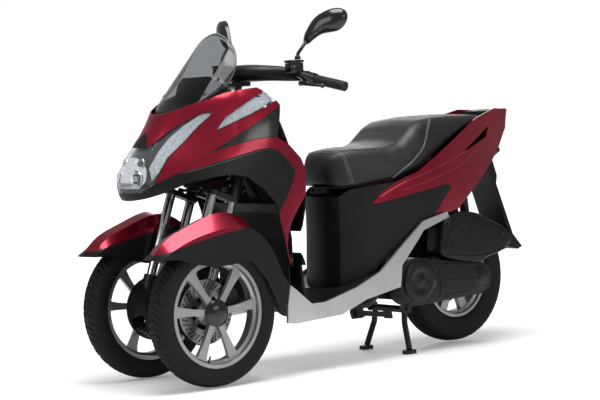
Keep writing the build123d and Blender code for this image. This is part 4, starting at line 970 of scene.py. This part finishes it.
def smooth_ring(outline, count):
    """Equal steps round a closed outline whose corners are cut three times."""
    ring = cut_corners([(u, v, 0) for u, v in outline], 3, closed=True)
    lengths = np.concatenate([[0], np.cumsum([(b - a).length for a, b in zip(ring, ring[1:] + ring[:1])])])
    closed = np.array([list(p) for p in ring + ring[:1]])
    steps = np.linspace(0, lengths[-1], count, endpoint=False)
    return list(zip(*(np.interp(steps, lengths, column) for column in closed.T[:2])))


def mirror_dish(shrink, levels):
    """Rings on the mirror's outline: (depth towards the front, share of the outline) each."""
    rim = smooth_ring(mirror_rim, rim_steps)
    points = []
    for depth, share in levels:
        for u, v in rim:
            aside = rim_middle[0] + (u - rim_middle[0]) * share * shrink
            below = rim_middle[1] + (v - rim_middle[1]) * share * shrink
            q = mirror_middle + mirror_out * aside + mirror_down * below - mirror_back * depth
            points.append(metres(*q))
    return points, capped(len(levels), rim_steps)


shell_levels = [(1.5, 0.93), (-0.5, 0.95), (-1.5, 0.985), (0, 1.0)] + [
    (34 * math.sin(t), math.cos(t) ** 0.75) for t in np.linspace(0.08, 1.5, 12)]
tail_end = mirror_middle + mirror_out * -74 + mirror_down * 40 - mirror_back * 9
stalk = tube(
    [
        (214, 396, 1098), (215, 398, 1116), (221, 412, 1136), tuple((Vector((225, 424, 1150)) + tail_end) / 2),
        tuple(tail_end)],
    (6.5, 6.2, 6, 6.5, 9))
foot = tube([(214, 396, z) for z in (1095.6, 1101, 1106, 1110)], (11, 11, 9, 7.5), 20)
joined(
    "mirror_shells", [mirror_dish(1.0, shell_levels), stalk, foot], smooth_black, "handlebar", ("mirrors",),
    mirrored=True)
joined(
    "mirror_faces", [mirror_dish(0.9, [(-0.9, 1.0), (-1.9, 0.99), (-2.1, 0.97), (-2.1, 0.4)])], silvered_glass,
    "handlebar", ("mirror_glass",), mirrored=True)

# %% Screen
screen_half = [
    (0, 1201), (38, 1192), (72, 1178), (112, 1148), (138, 1108), (152, 1066), (157, 1030), (152, 996),
    (132, 962), (98, 938), (50, 924), (0, 919)]
screen_rim = screen_half + [(-x, z) for x, z in screen_half[-2:0:-1]]
chord_half, chord_dip = 165, 78
screen_r = (chord_half ** 2 + chord_dip ** 2) / (2 * chord_dip)
lean_sin, lean_cos = 0.66013, 0.75115  # how far the screen leans back
screen_foot_a, screen_foot_z, screen_middle_z = -68.7, 893.9, 1062
screen_steps = 96


def on_screen(x, z, depth):
    """A point of the curved screen from its front view, depth millimetres behind its face."""
    dip = screen_r - math.sqrt((screen_r - depth) ** 2 - x * x)
    rise = (z - screen_foot_z + dip * lean_sin) / lean_cos
    return metres(x, screen_foot_a + dip * lean_cos + rise * lean_sin, z)


screen_points = []
screen_ring = smooth_ring(screen_rim, screen_steps)
shares = list(np.linspace(0.02, 0.985, 14))
screen_levels = [(s, 0) for s in shares] + [(1.0, 0.9), (1.0, 2.1)] + [(s, 3) for s in shares[::-1]]
for share, depth in screen_levels:
    screen_points += [
        on_screen(x * share, screen_middle_z + (z - screen_middle_z) * share, depth) for x, z in screen_ring]
screen = (screen_points, capped(len(screen_levels), screen_steps))
joined("curved_screen", [screen], smoke_acrylic, "body", ("windscreen",))
for k, (x, z) in enumerate(((118, 985), (128, 1035), (-118, 985), (-128, 1035))):
    at = Vector(on_screen(x, z, 0))
    beside, above = Vector(on_screen(x - 1, z, 0)), Vector(on_screen(x, z + 1, 0))
    facing = (above - at).cross(beside - at).normalized()
    dome_screw(f"screen_screw_{k}", at, facing if facing.y < 0 else -facing, 6.5)

# %% [markdown]
# ## Lamp bowls, brake calipers, valves and the inner shield
# Four turned bowls with dark domes sit in the nose lamp. A caliper grips each front
# disc from the fork, and a rubber valve stands in each front rim. The inner shield
# is a copy of its solid whose upper sides are drawn forwards, so it closes the
# front neatly.

# %% Bowls in the nose lamp
lamp_tree = tree_of("lamp_reflector")
bowls, domes = [], []
for x, z, r in ((0.046, 0.709, 27), (-0.046, 0.709, 27), (0.044, 0.757, 21), (-0.044, 0.757, 21)):
    at, normal, _, _ = lamp_tree.ray_cast(Vector((x, -1.3, z)), Vector(ahead))
    facing = (normal.x * 0.4, -abs(normal.y), normal.z * 0.5)
    bowl = [(-6, r), (1, r), (2.4, r - 1), (2.4, r - 2.5), (0.6, r - 5), (-2, r - 7), (-6, r - 8)]
    dome = [(-6, r - 8.5), (-1, r - 8.5), (1.2, r - 10), (2.6, r - 14), (3.2, 4), (3.4, 1)]
    bowls.append(turned(at, facing, bowl))
    domes.append(turned(at, facing, dome))
joined("lamp_bowls", bowls, reflector_silver, "body")
lamp_glass = finish_of("dark_projector_glass", "#20242a", 0.04, 0.0, Coat_Weight=0.6)
joined("lamp_domes", domes, lamp_glass, "body")

# %% Calipers and valves
pin_places = ((84, 286), (104, 318))
valve_line = ((205, -40, 78), (209, -38, 88), (213, -35, 100), (215, -34, 108))
for side, word in left_right:
    grip = sections(ahead, (0, -0.35, 1), 3.4, [(side * x, 98, 300, 24, 33) for x in (128, 135, 150)])
    caliper = [shaped(grip, 4)]
    for a, z in pin_places:
        pin = sections(ahead, upright, 2.2, [(side * x, a, z, 9, 9) for x in (118, 128)])
        caliper.append(shaped(pin, 1.5, 18, 1))
    joined("brake_caliper_" + word, caliper, painted_casting, "fork_" + word)
    valve = tube([(side * x, a, z) for x, a, z in valve_line], (5, 4, 3, 3.4))
    joined("valve_" + word, [valve], soft_rubber, "wheel_front_" + word)

# %% Inner shield
longest_edge = 0.03  # edges are split down to this, so the shape can bend smoothly
draw_forward, draw_narrow = 0.042, 0.05  # metres forwards, and share of the width inwards
rise_start, rise_length = 0.60, 0.22  # heights between which the drawing grows to its full size
spread_start, spread_length = 0.09, 0.09  # and the same for the distance from the middle


def soft_step(value):
    """Goes smoothly from 0 to 1."""
    t = min(1.0, max(0.0, value))
    return t * t * (3 - 2 * t)


shield = nodes["leg_shield_inner"].data.copy()
shape = bmesh.new()
shape.from_mesh(shield)
bmesh.ops.remove_doubles(shape, verts=shape.verts, dist=0.00001)
for _ in range(4):
    bmesh.ops.triangulate(shape, faces=shape.faces)
    bmesh.ops.subdivide_edges(shape, edges=[e for e in shape.edges if e.calc_length() > longest_edge], cuts=1)
bmesh.ops.triangulate(shape, faces=shape.faces)
bmesh.ops.recalc_face_normals(shape, faces=shape.faces)
shape.to_mesh(shield)
shape.free()
for point in shield.vertices:
    rise = soft_step((point.co.z - rise_start) / rise_length)
    spread = soft_step((abs(point.co.x) - spread_start) / spread_length)
    point.co.y -= draw_forward * rise * spread
    point.co.x *= 1 - draw_narrow * rise * spread
shield.polygons.foreach_set("use_smooth", [True] * len(shield.polygons))
shield.set_sharp_from_angle(angle=math.radians(35))
paint(shield, grained_black)
inner_shield = placed("inner_shield", shield)
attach(inner_shield, "body")
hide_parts("leg_shield_inner")
print("inner shield faces:", len(shield.polygons))

# %% Dark infill under the body panels, painted shade in the gap
shade_infill_outline = [
    (900, 330), (960, 400), (1080, 500), (1140, 560), (1140, 610), (960, 600), (860, 560), (820, 420),
    (850, 330)]
# A dark block fills the see-through gap between the body panels: painted shade, not a real lining.
moulded("under_lining", shade_infill_outline, -115, 115, 5, grained_black)

# %% [markdown]
# ## Creases of the tail and ribs of the grips
# A soft raised crease runs up each tail panel, with a shallower one below it, and
# the rubber grips carry rings.

# %% Creases and ribs
tail_tree = tree_of("tail_panels")
high_crease = [
    (800, 592), (831, 612), (881, 635), (941, 658), (1028, 679), (1125, 709), (1227, 742), (1300, 766)]
low_crease = [(900, 618), (974, 634), (1059, 655), (1139, 676), (1234, 706), (1330, 752), (1420, 800)]
for side, word in left_right:
    creases = [on_side(tail_tree, high_crease, side, -1.6), on_side(tail_tree, low_crease, side, -2.0)]
    bead("tail_crease_" + word, creases, 3.6, red_lacquer, 10)
ring_profile = [(-1.4, 14), (-1.0, 17.4), (1.0, 17.4), (1.4, 14)]
rings = [turned(metres(*on_grip(d)), grip_along, ring_profile, 28) for d in range(72, 178, 7)]
joined("grip_rings", rings, soft_rubber, "handlebar", mirrored=True)

# %% [markdown]
# ## Studio
# A plain pale floor, a large soft lamp overhead and three weaker ones at the left,
# in front and behind. The backdrop's white comes from the world as the camera sees
# it, directly or through a lens, and not from more light on the scooter.

# %% Floor
floor_half, floor_drop = 70, 0.001  # it lies just below the tyres
floor_corners = [(x * floor_half, y * floor_half, -floor_drop) for x, y in ((-1, -1), (1, -1), (1, 1), (-1, 1))]
floor = placed("floor", mesh_of("floor", floor_corners, [(0, 1, 2, 3)]))
floor_paint = finish_of("pale_studio_floor", "#f7f7f7", 0.6, Emission_Color=(1, 1, 1, 1))
paint_tree = floor_paint.node_tree
floor_rays = add_node(paint_tree, "ShaderNodeLightPath")
floor_place = add_node(paint_tree, "ShaderNodeTexCoord")
floor_reach = add_node(
    paint_tree, "ShaderNodeVectorMath", {0: floor_place.outputs["Object"]}, operation="LENGTH")
# Away from the scooter the floor glows up to the backdrop's white, for the camera alone.
floor_far = add_node(
    paint_tree, "ShaderNodeMapRange",
    {"Value": floor_reach.outputs["Value"], "From Min": 0.9, "From Max": 4.5, "To Min": 0.2, "To Max": 1.0})
floor_glow = add_node(
    paint_tree, "ShaderNodeMath", {0: floor_rays.outputs["Is Camera Ray"], 1: floor_far.outputs["Result"]},
    operation="MULTIPLY")
paint_tree.links.new(floor_glow.outputs[0], paint_tree.nodes["Principled BSDF"].inputs["Emission Strength"])
floor.data.materials.append(floor_paint)
floor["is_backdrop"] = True

# %% World and lamps
world = bpy.data.worlds.new("studio")
bpy.context.scene.world = world
world.use_nodes = True
sky = world.node_tree
background = sky.nodes["Background"]
background.inputs["Color"].default_value = (1, 1, 1, 1)
rays = add_node(sky, "ShaderNodeLightPath")
seen = add_node(
    sky, "ShaderNodeMath", {0: rays.outputs["Is Camera Ray"], 1: rays.outputs["Is Transmission Ray"]},
    operation="MAXIMUM")
level = add_node(sky, "ShaderNodeMapRange", {"Value": seen.outputs[0], "To Min": 0.3, "To Max": 1.0})
sky.links.new(level.outputs["Result"], background.inputs["Strength"])


def soft_lamp(name, at, aim, size, power):
    """A rectangular lamp at a place, facing a point: size in metres, power in watts."""
    data = bpy.data.lights.new(name, "AREA")
    data.shape, data.size, data.size_y, data.energy = "RECTANGLE", size[0], size[1], power
    lamp = placed(name, data)
    lamp.location = at
    lamp.rotation_mode = "QUATERNION"
    lamp.rotation_quaternion = (Vector(aim) - Vector(at)).to_track_quat("-Z", "Y")


soft_lamp("overhead", (0.6, -0.5, 3.6), (0, 0, 0.4), (2.4, 2.4), 140)
soft_lamp("left_side", (4.2, 0.6, 1.8), (0, 0, 0.5), (2.2, 1.0), 22)
soft_lamp("front", (0.4, -4.6, 1.9), (0, -0.4, 0.6), (2.4, 1.2), 26)
soft_lamp("back_edge", (-3.2, 2.6, 2.4), (0, 0, 0.7), (2.0, 1.4), 30)
bpy.context.scene.view_settings.view_transform = "Standard"

# %% [markdown]
# ## Finish
# The box round everything that is shown is written down at the end.

# %% Write down the size and finish
low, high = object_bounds()
print("visual size:", [round(v, 4) for v in high - low])
